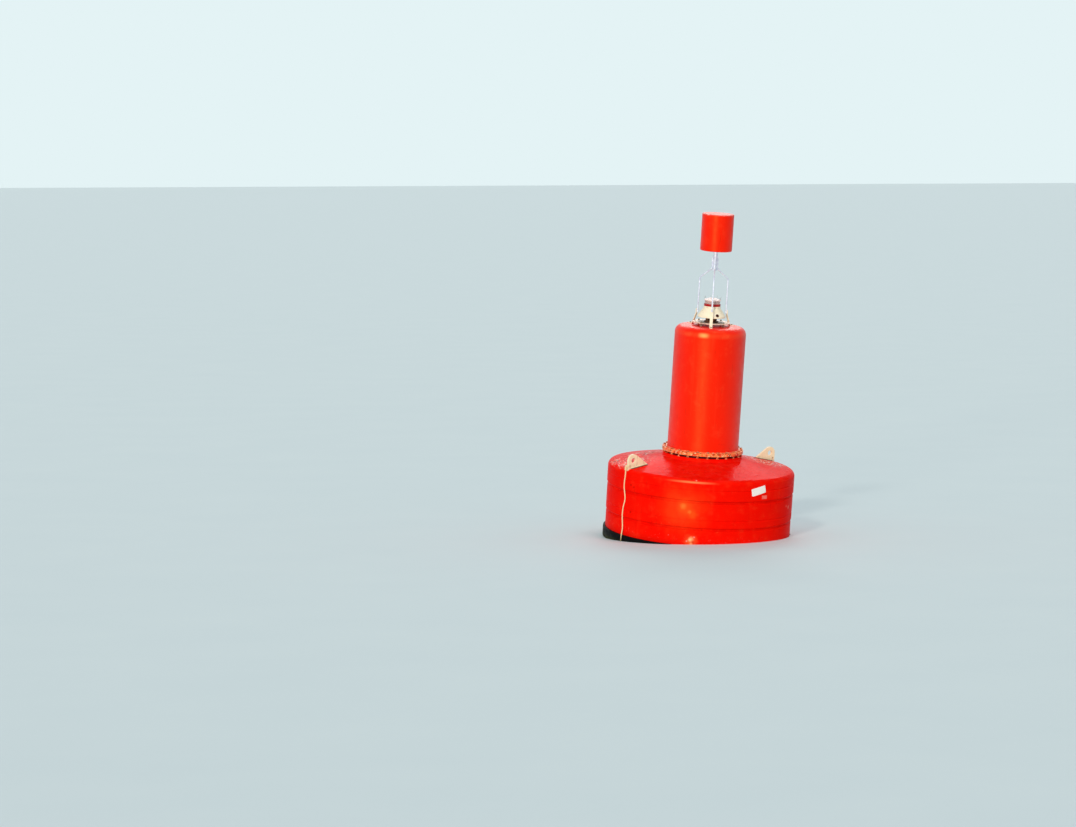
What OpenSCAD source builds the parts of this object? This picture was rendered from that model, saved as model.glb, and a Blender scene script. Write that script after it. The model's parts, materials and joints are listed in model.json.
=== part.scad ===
// Lateral buoy: a moulded float, a round tower, a caged lantern and a can topmark on a ballasted tail.
// Z = 0 is the still waterline on the buoy's axis, and the two lifting lugs stand on the X axis.
// Lengths are in millimetres and angles in degrees.

/* [Float] */
// Diameter of the float over its top band
float_d = 2500; // [2000:10:3000]
// Height above the waterline where side and top would meet if their corner were sharp
corner_z = 956; // [820:2:1200]
// Radius of that rounded corner
corner_r = 70; // [40:2:100]
// Rise of the sloping top from the corner to the foot of the neck
top_rise = 133; // [100:1:260]
// Height of the neck under the tower
neck_h = 38; // [24:1:90]
// Diameter of the neck
neck_d = 1060; // [880:5:1270]
// Height of the seam between the upper and the lower shell above the waterline
seam_z = 78; // [40:1:120]
// Depth of the float below the waterline
draft = 520; // [420:5:700]
// How far the lower shell's lip stands out from the top band
lip_out = 18; // [2:1:30]
// Width of the lip on the lower shell
lip_h = 130; // [60:2:180]
// Diameter of the flat bottom
bottom_d = 1900; // [1850:10:2000]
// Height of the bevel between side and bottom
bevel_h = 220; // [120:5:280]

/* [Lifting lugs] */
// Thickness of a lifting lug
lug_t = 30; // [20:1:40]
// Distance from the float's side in to a lug's steep outer edge
lug_edge_in = 14; // [6:1:30]
// Length of a lug's foot, from the outer edge to the toe
lug_l = 298; // [240:2:320]
// Height of the lifting eye's centre above the waterline
eye_z = 1076; // [1066:1:1110]
// Radius of the metal round the lifting eye
eye_rim_r = 83; // [60:1:90]
// Radius of the lifting eye
eye_r = 36; // [20:1:40]
// Width of the pad under a lug
pad_w = 90; // [70:2:200]
// Thickness of the pad under a lug
pad_t = 14; // [10:1:20]
// How deep the pad is let into the float
pad_sink = 8; // [5:1:9]

/* [Tower] */
// Diameter of the tower
tower_d = 950; // [780:5:1000]
// Height of the tower from the underside of its flange
tower_h = 1691; // [1300:1:2200]
// Radius of the tower's rounded top edge
tower_top_r = 100; // [60:2:120]
// Diameter of the tower's flange
flange_d = 1084; // [1060:2:1150]
// Thickness of the tower's flange
flange_t = 46; // [30:1:60]
// Gap between the float's neck and the flange, where the bolts show
flange_gap = 30; // [20:1:40]
// Number of flange bolts
bolt_count = 24; // [12:1:28]
// Diameter of a flange bolt
bolt_d = 20; // [16:1:22]

/* [Lantern] */
// Diameter of the lantern's plate
plate_d = 500; // [400:4:540]
// Thickness of the lantern's plate
plate_t = 8; // [6:1:14]
// Height of the spacers under the plate
spacer_h = 42; // [20:1:60]
// Height of the pedestal between plate and lantern
pedestal_h = 62; // [30:1:80]
// Diameter of the lantern's skirt
skirt_d = 372; // [300:2:390]
// Diameter of the lantern's head
head_d = 228; // [190:2:250]
// Height of the lantern's body
body_h = 150; // [130:1:210]
// Height of the red collar under the lens
collar_h = 32; // [16:1:50]
// Height of the lens
lens_h = 42; // [30:1:90]
// Diameter of the lens
lens_d = 200; // [160:2:220]
// Wall of the lens
lens_wall = 5; // [3:1:8]
// Height of the cap on the lens
cap_h = 34; // [24:1:50]

/* [Cage and topmark] */
// Turn of the lantern cage about the buoy's axis
cage_turn = -8; // [-60:1:60]
// Distance from the axis to the upright bars of the cage
cage_r = 218; // [206:1:230]
// Diameter of a cage bar
bar_d = 20; // [16:1:26]
// Height above the tower where the cage bars turn inwards
shoulder_h = 624; // [560:2:740]
// Height above the tower where the bars reach the post
throat_h = 762; // [740:2:880]
// Length of the bars beside the post
clasp_h = 150; // [80:2:160]
// Width of a leg's flat bar
leg_w = 40; // [30:1:60]
// Thickness of a leg's flat bar
leg_t = 8; // [6:1:12]
// Distance from the axis to the middle of a leg's foot
foot_r = 312; // [304:1:330]
// Diameter of the topmark's post
post_d = 58; // [48:1:70]
// Wall of the topmark's post
post_wall = 4; // [3:1:6]
// Height of the can's underside above the tower
can_lift = 1002; // [980:2:1200]
// Diameter of the can topmark
can_d = 424; // [350:2:510]
// Height of the can topmark
can_h = 494; // [400:2:600]
// Radius of the can's edges
can_edge_r = 14; // [6:1:30]

/* [Tail and ballast] */
// Diameter of the tail tube
tail_d = 273; // [220:1:330]
// Wall of the tail tube
tail_wall = 12; // [8:1:20]
// Length of the tail tube below the flange
tail_l = 1560; // [1300:10:2200]
// Diameter of the plate that holds the tail to the float
tail_plate_d = 640; // [560:5:760]
// Thickness of that plate
tail_plate_t = 20; // [14:1:30]
// Diameter of a ballast disc
disc_d = 760; // [640:5:900]
// Thickness of a ballast disc
disc_t = 92; // [70:1:110]
// Thickness of the end plates that hold the discs
end_plate_t = 22; // [14:1:30]
// Radius of the eye under the tail
foot_eye_r = 32; // [24:1:40]
// Thickness of the eye plate under the tail
foot_eye_t = 45; // [30:1:60]

/* [Mooring] */
// Distance from the axis to the mooring eyes
moor_r = 815; // [790:1:825]
// Thickness of a mooring lug
moor_t = 32; // [24:1:40]
// Depth of a mooring eye below the pad
moor_drop = 90; // [80:1:120]
// Diameter of a shackle's pin
pin_d = 44; // [36:1:50]
// How much wider the mooring eye is than the pin
eye_play = 8; // [2:1:14]
// Diameter of a shackle's bar
bow_d = 40; // [32:1:46]
// Gap between the lug and each side of the shackle
jaw_gap = 8; // [6:1:14]

/* [Hidden] */
$fn = 96;

// Colours
red = [0.93, 0.12, 0.05];
black = [0.08, 0.08, 0.09];
zinc = [0.74, 0.75, 0.73];
cream = [0.93, 0.90, 0.80];
iron = [0.28, 0.26, 0.25];
rope = [0.90, 0.78, 0.52];

// Fits
seat = 0.3;          // gap where a round or a bent piece rests against its neighbour
slope_seat = 0.02;   // gap under a lug's sloping foot
hole_play = 1;       // gap between a bolt and its hole, on the radius

// Float
float_r = float_d / 2;
neck_r = neck_d / 2;
neck_foot_z = corner_z + top_rise;
neck_z = neck_foot_z + neck_h;
top_slope = atan(top_rise / (float_r - neck_r));
deep_groove = [46, 18];      // height and depth
crease = [24, 7];            // height and depth
// Marks round the side: drop below the corner, [height, depth], and inset of the band under the mark
side_marks = [
    [651, deep_groove, 10],
    [536, crease, 5],
    [291, deep_groove, 5],
    [138, crease, 0]];

// Centre of the arc that rounds the corner, seen in the XZ plane
corner_arc_x = float_r - corner_r;
corner_arc_z = corner_z - corner_r / tan(45 + top_slope / 2);

// Lifting lugs: a flat pad up to the rounded corner, and a lug that goes on round the corner
lug_out_r = float_r - lug_edge_in;
lug_in_r = lug_out_r - lug_l;
pad_out_r = corner_arc_x + corner_r * sin(top_slope) - 3;
pad_out = (float_r - pad_out_r) / cos(top_slope);
pad_l = (pad_out_r - lug_in_r + 14) / cos(top_slope);
eye_x = lug_out_r - eye_rim_r;
toe_h = 12;
tie_in = 30;                 // from the lug's outer edge to the tie hole's centre
tie_up = 34;                 // from the line of the pad's top to the tie hole's centre
tie_r = 14;
tie_z = pad_top(lug_out_r - tie_in) + tie_up;

// Tower
tower_z = neck_z + flange_gap;
tower_top = tower_z + tower_h;
tower_r = tower_d / 2;
flange_r = flange_d / 2;
flange_fillet = 14;
bolt_pcr = (flange_r + tower_r + flange_fillet) / 2;
bolt_head_h = 13;
bolt_washer_t = 3;
bolt_nut_h = 15;
bolt_grip = 40;
seal_r = bolt_pcr - 40;
seal_w = 60;

// Lantern
spacer_d = 26;
spacer_pcr = plate_d / 2 - 40;
spacer_count = 4;
plate_z = tower_top + spacer_h;
pedestal_z = plate_z + plate_t;
body_z = pedestal_z + pedestal_h;
collar_z = body_z + body_h;
lens_z = collar_z + collar_h;
cap_z = lens_z + lens_h;
pedestal_d = 150;
collar_r = head_d / 2 - 3;
core_d = 84;

// Cage and topmark
leg_count = 3;
leg_knee_h = 146;
leg_top_h = 206;
foot_l = 56;
foot_hole_r = 7;
foot_bolt_d = 12;
foot_bolt_in = foot_r + 6;   // distance from the axis to the bolt
bar_bottom_h = 152;
bar_bend = 50;
post_low = 24;               // how far the post reaches below the throat
post_flange_d = 130;
post_flange_t = 8;
can_z = tower_top + can_lift;

// Tail and ballast
bottom_z = -draft;
tail_z = bottom_z - tail_plate_t;
tail_r = tail_d / 2;
tail_end = tail_z - tail_l;
gusset_l = 150;
gusset_h = 260;
gusset_t = 16;
stack_z = tail_end + end_plate_t;
foot_cover_r = tail_r + 45;
disc_count = 3;
disc_bore_r = tail_r + 2;
disc_gap = 2;
disc_step = disc_t + disc_gap;
stack_top = stack_z + disc_count * disc_step - disc_gap;
rod_pcr = (disc_d / 2 + tail_r) / 2;
rod_d = 24;
rod_count = 4;
end_plate_d = 2 * rod_pcr + 90;

// Mooring
moor_pad_l = 230;
moor_pad_w = 170;
moor_pad_t = 16;
moor_pad_z = bottom_z - moor_pad_t;
moor_eye_z = moor_pad_z - moor_drop;
moor_rim_r = 62;
moor_eye_r = (pin_d + eye_play) / 2;
pin_z = moor_eye_z - eye_play / 2 + seat;
jaw_in = moor_t / 2 + jaw_gap;
ear_t = 44;
ear_r = 42;
jaw_out = jaw_in + ear_t;
bow_l = 165;
tie_nut_w = 55;
tie_nut_h = 28;
tie_rod_d = 36;

// Lanyard: a rope of 16 mm tied to the left lug, hanging down the side to below the waterline
rope_d = 16;
hitch_in_r = lug_t / 2 + 5;
hitch_r = hitch_in_r + rope_d / 2;
hitch_x = lug_out_r - tie_in + tie_r - seat + sqrt(hitch_in_r * hitch_in_r - lug_t * lug_t / 4);
// Points on the rope: distance outside the float's side, sideways sway, and drop below the tie hole
lanyard_points = [
    [11, 0, 0], [11, 0, 28], [12, -1, 52], [13, -1, 78], [13, 1, 110], [12, 5, 146],
    [12, 10, 186], [12, 14, 226], [12, 14, 266], [12, 7, 306], [12, -5, 346], [12, -16, 386],
    [12, -22, 426], [12, -18, 466], [12, -6, 506], [12, 5, 546], [12, 11, 586], [12, 14, 626],
    [12, 13, 666], [12, 9, 706], [12, 3, 746], [13, -4, 786], [15, -10, 826], [20, -13, 866],
    [27, -13, 906], [29, -11, 946], [29, -8, 986], [29, -5, 1026], [29, -2, 1066], [28, 0, 1106],
    [27, 1, 1146], [27, 1, 1186]];
lanyard_route = [for (p = lanyard_points) [-float_r - p.x, p.y, tie_z - p.z]];
knot_d = 36;

function unit(v) = v / norm(v);

// Height of the float's sloping top over the waterline, at distance x from the axis
function slope_top(x) = corner_z + (float_r - x) * tan(top_slope);

// Height of the lug pad's top face there
function pad_top(x) = slope_top(x) + (pad_t - pad_sink) / cos(top_slope);

// Points of the arc of radius r that rounds the corner p between its neighbours a and b
function corner_arc(a, p, b, r, n) =
    r == 0 ? [p] :
    let (u = unit(a - p),
         w = unit(b - p),
         half = acos(u * w) / 2,
         centre = p + unit(u + w) * r / sin(half),
         start = p + u * r / tan(half) - centre,
         stop = p + w * r / tan(half) - centre,
         from = atan2(start.y, start.x),
         turn = (atan2(stop.y, stop.x) - from + 540) % 360 - 180)
    [for (i = [0 : n]) centre + r * [cos(from + turn * i / n), sin(from + turn * i / n)]];

// Closed outline with rounded corners, from rows of x, y and corner radius
function outline(rows, n = 6) =
    let (count = len(rows))
    [for (i = [0 : count - 1])
        let (a = rows[(i + count - 1) % count],
             p = rows[i],
             b = rows[(i + 1) % count])
        each corner_arc([a.x, a.y], [p.x, p.y], [b.x, b.y], p.z, n)];

// Solid of revolution about Z, from rows of radius, height and corner radius
module turned(rows, n = 6) {
    rotate_extrude() polygon(outline(rows, n));
}

// Round bar along a path in the XZ plane, from rows of x, z and bend radius
module bent_bar(rows, d) {
    last = len(rows) - 1;
    pts = [for (row = rows) [row.x, row.y]];
    // How much of the straight beside point i its bend takes up
    trim = [for (i = [0 : last])
        i == 0 || i == last ? 0 :
        let (u = unit(pts[i - 1] - pts[i]),
             w = unit(pts[i + 1] - pts[i]))
        rows[i].z / tan(acos(u * w) / 2)];
    rotate([90, 0, 0]) {
        for (i = [0 : last - 1]) {
            along = unit(pts[i + 1] - pts[i]);
            start = pts[i] + along * trim[i];
            stop = pts[i + 1] - along * trim[i + 1];
            translate(start)
                rotate([0, 0, atan2(along.y, along.x)])
                    rotate([0, 90, 0])
                        cylinder(h = norm(stop - start), d = d);
        }
        for (i = [1 : last - 1]) {
            u = unit(pts[i - 1] - pts[i]);
            w = unit(pts[i + 1] - pts[i]);
            half = acos(u * w) / 2;
            centre = pts[i] + unit(u + w) * rows[i].z / sin(half);
            first = pts[i] + u * trim[i] - centre;
            second = pts[i] + w * trim[i] - centre;
            left_turn = first.x * second.y - first.y * second.x > 0;
            from = left_turn ? first : second;
            translate(centre)
                rotate([0, 0, atan2(from.y, from.x)])
                    rotate_extrude(angle = 180 - 2 * half)
                        translate([rows[i].z, 0])
                            circle(d = d);
        }
    }
}

// Points of an open path with rounded corners, from rows of x, y and corner radius
function rounded_path(rows, n = 6) =
    let (last = len(rows) - 1)
    [for (i = [0 : last])
        each i == 0 || i == last
            ? [[rows[i].x, rows[i].y]]
            : corner_arc([rows[i - 1].x, rows[i - 1].y], [rows[i].x, rows[i].y],
                         [rows[i + 1].x, rows[i + 1].y], rows[i].z, n)];

// Tube of diameter d swept along 3D points, with flat ends
module swept_tube(route, d, sides) {
    last = len(route) - 1;
    function heading(i) = unit(route[min(i + 1, last)] - route[max(i - 1, 0)]);
    function ring(i) =
        let (t = heading(i),
             u = unit(cross(t, [0, 1, 0])),
             v = cross(t, u))
        [for (k = [0 : sides - 1])
            route[i] + d / 2 * (u * cos(k * 360 / sides) + v * sin(k * 360 / sides))];
    points = [for (i = [0 : last]) each ring(i)];
    walls = [for (i = [0 : last - 1], k = [0 : sides - 1])
        let (a = i * sides + k,
             b = i * sides + (k + 1) % sides)
        [a, b, b + sides, a + sides]];
    first_face = [for (k = [sides - 1 : -1 : 0]) k];
    last_face = [for (k = [0 : sides - 1]) last * sides + k];
    polyhedron(points, concat([first_face], walls, [last_face]));
}

// Places its children on both sides of a plane through the axis: side 1 is +X, side -1 is -X
module on_side(side) {
    rotate([0, 0, side > 0 ? 0 : 180]) children();
}

// Repeats its children round the axis
module ring_of(count, radius, turn = 0) {
    for (i = [0 : count - 1])
        rotate([0, 0, turn + i * 360 / count])
            translate([radius, 0, 0])
                children();
}

// Hexagonal prism, w wide across its flats
module hexagon(w, h) {
    cylinder(h = h, d = w / cos(30), $fn = 6);
}

// Places its children on the sloping top: X runs outwards down the slope, Z away from it, and the origin
// is the corner between side and top
module on_top_slope(side) {
    on_side(side)
        translate([float_r, 0, corner_z])
            rotate([0, top_slope, 0])
                children();
}

module float_upper() {
    function inset_above(i) = i == len(side_marks) - 1 ? 0 : side_marks[i + 1][2];
    function mark_rows(i) =
        let (mark = side_marks[i],
             z = corner_z - mark[0],
             h = mark[1][0],
             floor_r = float_r - mark[2] - mark[1][1],
             soft = mark[1][1] / 2)
        [[float_r - mark[2], z - h / 2, soft],
         [floor_r, z - h / 6, soft],
         [floor_r, z + h / 6, soft],
         [float_r - inset_above(i), z + h / 2, soft]];
    rows = concat(
        [[0, seam_z, 0], [float_r - side_marks[0][2], seam_z, 6]],
        [for (i = [0 : len(side_marks) - 1]) each mark_rows(i)],
        [[float_r, corner_z, corner_r],
         [neck_r, neck_foot_z, 30],
         [neck_r, neck_z, 5],
         [0, neck_z, 0]]);
    color(red)
        difference() {
            turned(rows, 8);
            for (side = [-1, 1])
                on_top_slope(side)
                    translate([-pad_out - pad_l - 2, -pad_w / 2 - 2, -pad_sink])
                        cube([pad_l + 4, pad_w + 4, 100]);
            ring_of(bolt_count, bolt_pcr)
                translate([0, 0, neck_z - bolt_grip - hole_play])
                    cylinder(h = bolt_grip + 10, d = bolt_d + 2 * hole_play);
        }
}

module float_lower() {
    lip_r = float_r + lip_out;
    wall_r = float_r - 6;
    color(black)
        turned([
            [0, bottom_z, 0],
            [bottom_d / 2, bottom_z, 40],
            [wall_r, bottom_z + bevel_h, 60],
            [wall_r, seam_z - lip_h - 14, 10],
            [lip_r, seam_z - lip_h, 8],
            [lip_r, seam_z, 12],
            [0, seam_z, 0]]);
}

module lug_pad(side) {
    color(zinc)
        on_top_slope(side)
            translate([-pad_out - pad_l, -pad_w / 2, -pad_sink])
                linear_extrude(pad_t)
                    polygon(outline([
                        [0, 0, 20], [pad_l, 0, 20], [pad_l, pad_w, 20], [0, pad_w, 20]]));
}

// Lifting lug: steep outside, round over the eye, and sloping down to a toe towards the tower
module lifting_lug(side) {
    step_r = pad_out_r + 2;
    foot_steps = 6;
    foot_arc_r = corner_r + seat;
    foot_start = 90 - top_slope;
    foot_end = acos((lug_out_r - corner_arc_x) / foot_arc_r);
    toe = [lug_in_r, pad_top(lug_in_r) + toe_h];
    eye = [eye_x, eye_z];
    toe_dir = toe - eye;
    arc_end = atan2(toe_dir.y, toe_dir.x) + 360 - acos(eye_rim_r / norm(toe_dir));
    arc_steps = 20;
    color(cream)
        on_side(side)
            translate([0, lug_t / 2, 0])
                rotate([90, 0, 0])
                    difference() {
                        linear_extrude(lug_t)
                            polygon([
                                [lug_in_r, pad_top(lug_in_r) + slope_seat],
                                [step_r, pad_top(step_r) + slope_seat],
                                [step_r, slope_top(step_r) + seat / cos(top_slope)],
                                for (i = [0 : foot_steps])
                                    let (a = foot_start + (foot_end - foot_start) * i / foot_steps)
                                    [corner_arc_x + foot_arc_r * cos(a),
                                     corner_arc_z + foot_arc_r * sin(a)],
                                for (i = [0 : arc_steps])
                                    eye + eye_rim_r * [cos(arc_end * i / arc_steps),
                                                       sin(arc_end * i / arc_steps)],
                                toe]);
                        translate([eye_x, eye_z, -1])
                            cylinder(h = lug_t + 2, r = eye_r);
                        translate([lug_out_r - tie_in, tie_z, -1])
                            cylinder(h = lug_t + 2, r = tie_r);
                    }
}

module base_seal() {
    color(black)
        translate([0, 0, neck_z])
            difference() {
                cylinder(h = flange_gap, r = seal_r);
                translate([0, 0, -1])
                    cylinder(h = flange_gap + 2, r = seal_r - seal_w);
            }
}

module tower() {
    color(red)
        difference() {
            turned([
                [0, tower_z, 0],
                [flange_r, tower_z, 5],
                [flange_r, tower_z + flange_t, 7],
                [tower_r, tower_z + flange_t, flange_fillet],
                [tower_r, tower_top, tower_top_r],
                [0, tower_top, 0]], 10);
            ring_of(bolt_count, bolt_pcr)
                translate([0, 0, tower_z - 1])
                    cylinder(h = flange_t + 2, d = bolt_d + 2 * hole_play);
        }
}

module flange_bolts() {
    head_z = tower_z + flange_t;
    color(zinc)
        ring_of(bolt_count, bolt_pcr) {
            translate([0, 0, head_z])
                cylinder(h = bolt_washer_t, d = bolt_d * 1.8);
            translate([0, 0, head_z + bolt_washer_t])
                hexagon(bolt_d * 1.5, bolt_head_h);
            translate([0, 0, neck_z - bolt_grip])
                cylinder(h = head_z + bolt_washer_t - neck_z + bolt_grip, d = bolt_d);
            translate([0, 0, neck_z])
                hexagon(bolt_d * 1.5, bolt_nut_h);
        }
}

module lantern_plate() {
    color(zinc)
        translate([0, 0, plate_z])
            cylinder(h = plate_t, d = plate_d);
}

module plate_spacers() {
    color(zinc)
        ring_of(spacer_count, spacer_pcr, cage_turn + 22)
            translate([0, 0, tower_top])
                cylinder(h = spacer_h, d = spacer_d);
}

module lantern_pedestal() {
    color(iron)
        turned([
            [0, pedestal_z, 0],
            [pedestal_d / 2 + 18, pedestal_z, 2],
            [pedestal_d / 2 + 18, pedestal_z + 10, 3],
            [pedestal_d / 2, pedestal_z + 10, 4],
            [pedestal_d / 2, body_z, 0],
            [0, body_z, 0]], 4);
}

module lantern_body() {
    color(cream)
        turned([
            [0, body_z, 0],
            [skirt_d / 2, body_z, 5],
            [skirt_d / 2, body_z + 22, 8],
            [head_d / 2, collar_z - 26, 24],
            [head_d / 2, collar_z, 5],
            [0, collar_z, 0]]);
}

// Red collar, with the lamp standing on it
module lantern_core() {
    color("firebrick")
        turned([
            [0, collar_z, 0],
            [collar_r, collar_z, 2],
            [collar_r, lens_z, 4],
            [core_d / 2, lens_z, 3],
            [core_d / 2, cap_z, 0],
            [0, cap_z, 0]], 4);
}

module lantern_lens() {
    color([0.95, 0.55, 0.55])
        translate([0, 0, lens_z])
            difference() {
                cylinder(h = lens_h, d = lens_d);
                translate([0, 0, -1])
                    cylinder(h = lens_h + 2, d = lens_d - 2 * lens_wall);
            }
}

module lantern_cap() {
    color(cream)
        turned([
            [0, cap_z, 0],
            [head_d / 2, cap_z, 4],
            [head_d / 2, cap_z + cap_h * 0.35, 10],
            [head_d / 5, cap_z + cap_h, 14],
            [0, cap_z + cap_h, 0]]);
}

// Leg of flat bar: a foot bolted to the tower, a slope, and a tab that the cage bar stands against
module stand_leg(i) {
    tab_r = cage_r + bar_d / 2 + seat;
    out_r = foot_r + foot_l / 2;
    in_r = foot_r - foot_l / 2;
    color(cream)
        rotate([0, 0, cage_turn + i * 360 / leg_count])
            translate([0, leg_w / 2, tower_top])
                rotate([90, 0, 0])
                    difference() {
                        linear_extrude(leg_w)
                            polygon(outline([
                                [out_r, 0, 2],
                                [out_r, leg_t, 2],
                                [in_r + leg_t / 3, leg_t, 12],
                                [tab_r + leg_t, leg_knee_h, 30],
                                [tab_r + leg_t, leg_top_h, 3],
                                [tab_r, leg_top_h, 3],
                                [tab_r, leg_knee_h - 2, 30],
                                [in_r - leg_t / 3, 0, 12]]));
                        translate([foot_bolt_in, -1, leg_w / 2])
                            rotate([-90, 0, 0])
                                cylinder(h = leg_t + 2, r = foot_hole_r);
                    }
}

module leg_bolts() {
    head_w = 22;
    head_h = 10;
    color(zinc)
        translate([0, 0, tower_top])
            ring_of(leg_count, foot_bolt_in, cage_turn) {
                cylinder(h = leg_t, d = foot_bolt_d);
                translate([0, 0, leg_t])
                    hexagon(head_w, head_h);
            }
}

// Upright bar of the cage: up past the lantern, in to the throat and up beside the post
module cage_bar(i) {
    post_side = post_d / 2 + bar_d / 2 + seat;
    color(zinc)
        rotate([0, 0, cage_turn + i * 360 / leg_count])
            translate([0, 0, tower_top])
                swept_tube([
                    for (p = rounded_path([
                        [cage_r, bar_bottom_h, 0],
                        [cage_r, shoulder_h, bar_bend],
                        [post_side, throat_h, bar_bend],
                        [post_side, throat_h + clasp_h, 0]]))
                    [p.x, 0, p.y]], bar_d, 16);
}

module topmark_post() {
    low_z = tower_top + throat_h - post_low;
    color(zinc)
        difference() {
            union() {
                translate([0, 0, low_z])
                    cylinder(h = can_z - low_z, d = post_d);
                translate([0, 0, can_z - post_flange_t])
                    cylinder(h = post_flange_t, d = post_flange_d);
            }
            translate([0, 0, low_z - 1])
                cylinder(h = can_z - low_z - post_flange_t, d = post_d - 2 * post_wall);
        }
}

module topmark_can() {
    color(red)
        turned([
            [0, can_z, 0],
            [can_d / 2, can_z, can_edge_r],
            [can_d / 2, can_z + can_h, can_edge_r],
            [0, can_z + can_h, 0]]);
}

module tail_plate() {
    color(zinc)
        translate([0, 0, tail_z])
            cylinder(h = tail_plate_t, d = tail_plate_d);
}

module tail_gussets() {
    color(zinc)
        difference() {
            ring_of(4, 0, 45)
                translate([0, gusset_t / 2, tail_z])
                    rotate([90, 0, 0])
                        linear_extrude(gusset_t)
                            polygon([
                                [tail_r - 20, 0], [tail_r + gusset_l, 0],
                                [tail_r + gusset_l, -30], [tail_r + 20, -gusset_h],
                                [tail_r - 20, -gusset_h]]);
            translate([0, 0, tail_z - gusset_h - 1])
                cylinder(h = gusset_h + 2, r = tail_r + seat);
        }
}

module tail_tube() {
    color(zinc)
        translate([0, 0, tail_end])
            difference() {
                cylinder(h = tail_l, r = tail_r);
                translate([0, 0, -1])
                    cylinder(h = tail_l + 2, r = tail_r - tail_wall);
            }
}

// Disc with a bore for the tube and holes for the rods
module pierced_disc(d, t) {
    difference() {
        cylinder(h = t, d = d);
        translate([0, 0, -1])
            cylinder(h = t + 2, r = disc_bore_r);
        ring_of(rod_count, rod_pcr)
            translate([0, 0, -1])
                cylinder(h = t + 2, d = rod_d + 2 * hole_play);
    }
}

module ballast_top_plate() {
    color(zinc)
        translate([0, 0, stack_top])
            pierced_disc(end_plate_d, end_plate_t);
}

module ballast_disc(i) {
    color(iron)
        translate([0, 0, stack_z + i * disc_step])
            pierced_disc(disc_d, disc_t + disc_gap * (i < disc_count - 1 ? 1 : 0));
}

module ballast_bottom_plate() {
    color(zinc)
        translate([0, 0, stack_z - end_plate_t])
            pierced_disc(end_plate_d, end_plate_t);
}

module ballast_rods() {
    low_z = stack_z - end_plate_t;
    high_z = stack_top + end_plate_t;
    nut_w = rod_d * 1.5;
    nut_h = rod_d * 0.8;
    color(zinc)
        ring_of(rod_count, rod_pcr) {
            translate([0, 0, low_z - nut_h - 12])
                cylinder(h = high_z - low_z + 2 * nut_h + 24, d = rod_d);
            translate([0, 0, low_z - nut_h])
                hexagon(nut_w, nut_h);
            translate([0, 0, high_z])
                hexagon(nut_w, nut_h);
        }
}

module tail_foot() {
    cover_t = 25;
    plate_h = 150;
    plate_top_w = 220;
    rim_r = foot_eye_r + 38;
    eye_drop = plate_h - rim_r;
    color(zinc)
        translate([0, 0, tail_end - cover_t]) {
            cylinder(h = cover_t, r = foot_cover_r);
            translate([0, foot_eye_t / 2, 0])
                rotate([90, 0, 0])
                    difference() {
                        linear_extrude(foot_eye_t)
                            polygon(outline([
                                [-plate_top_w / 2, 1, 0],
                                [plate_top_w / 2, 1, 0],
                                [rim_r, -plate_h, rim_r * 0.9],
                                [-rim_r, -plate_h, rim_r * 0.9]], 10));
                        translate([0, -eye_drop, -1])
                            cylinder(h = foot_eye_t + 2, r = foot_eye_r);
                    }
        }
}

module anodes() {
    anode_l = 320;
    anode_w = 70;
    anode_t = 45;
    anode_z = tail_z - 620;
    color([0.6, 0.61, 0.62])
        for (side = [-1, 1])
            on_side(side)
                rotate([0, 0, 90])
                    translate([tail_r + seat, 0, anode_z])
                        rotate([90, 0, 0])
                            translate([0, 0, -anode_w / 2])
                                linear_extrude(anode_w)
                                    polygon(outline([
                                        [0, -anode_l / 2, 0], [anode_t, -anode_l / 2 + 25, 12],
                                        [anode_t, anode_l / 2 - 25, 12], [0, anode_l / 2, 0]]));
}

// Plate under the float, with a lug whose eye holds the shackle's pin
module mooring_lug(side) {
    color(zinc)
        on_side(side)
            difference() {
                union() {
                    translate([moor_r - moor_pad_l / 2, -moor_pad_w / 2, moor_pad_z])
                        cube([moor_pad_l, moor_pad_w, moor_pad_t]);
                    translate([moor_r, moor_t / 2, moor_eye_z])
                        rotate([90, 0, 0])
                            linear_extrude(moor_t)
                                polygon(outline([
                                    [moor_rim_r + 14, moor_drop + 1, 0],
                                    [-moor_rim_r - 14, moor_drop + 1, 0],
                                    [-moor_rim_r, -moor_rim_r, moor_rim_r * 0.9],
                                    [moor_rim_r, -moor_rim_r, moor_rim_r * 0.9]], 10));
                }
                translate([moor_r, moor_t / 2 + 1, moor_eye_z])
                    rotate([90, 0, 0])
                        cylinder(h = moor_t + 2, r = moor_eye_r);
            }
}

module tie_rod_nuts() {
    color(zinc)
        for (side = [-1, 1], x = [-1, 1], y = [-1, 1])
            on_side(side)
                translate([moor_r + x * (moor_pad_l / 2 - 32), y * (moor_pad_w / 2 - 32), moor_pad_z]) {
                    translate([0, 0, -tie_nut_h])
                        hexagon(tie_nut_w, tie_nut_h);
                    translate([0, 0, -tie_nut_h - 10])
                        cylinder(h = tie_nut_h + 10, d = tie_rod_d);
                }
}

// Straight-sided shackle, hanging from its pin
module shackle(side) {
    ear_y = jaw_in + ear_t / 2;
    color(iron)
        on_side(side)
            translate([moor_r, 0, pin_z])
                difference() {
                    union() {
                        for (y = [-1, 1])
                            translate([0, y * ear_y + ear_t / 2, 0])
                                rotate([90, 0, 0])
                                    cylinder(h = ear_t, r = ear_r);
                        rotate([0, 0, 90])
                            bent_bar([
                                [-ear_y, -ear_r * 0.6, 0],
                                [-ear_y, -bow_l, ear_y * 0.96],
                                [ear_y, -bow_l, ear_y * 0.96],
                                [ear_y, -ear_r * 0.6, 0]], bow_d);
                    }
                    translate([0, jaw_out + 1, 0])
                        rotate([90, 0, 0])
                            cylinder(h = 2 * jaw_out + 2, d = pin_d + 2 * seat);
                }
}

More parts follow.
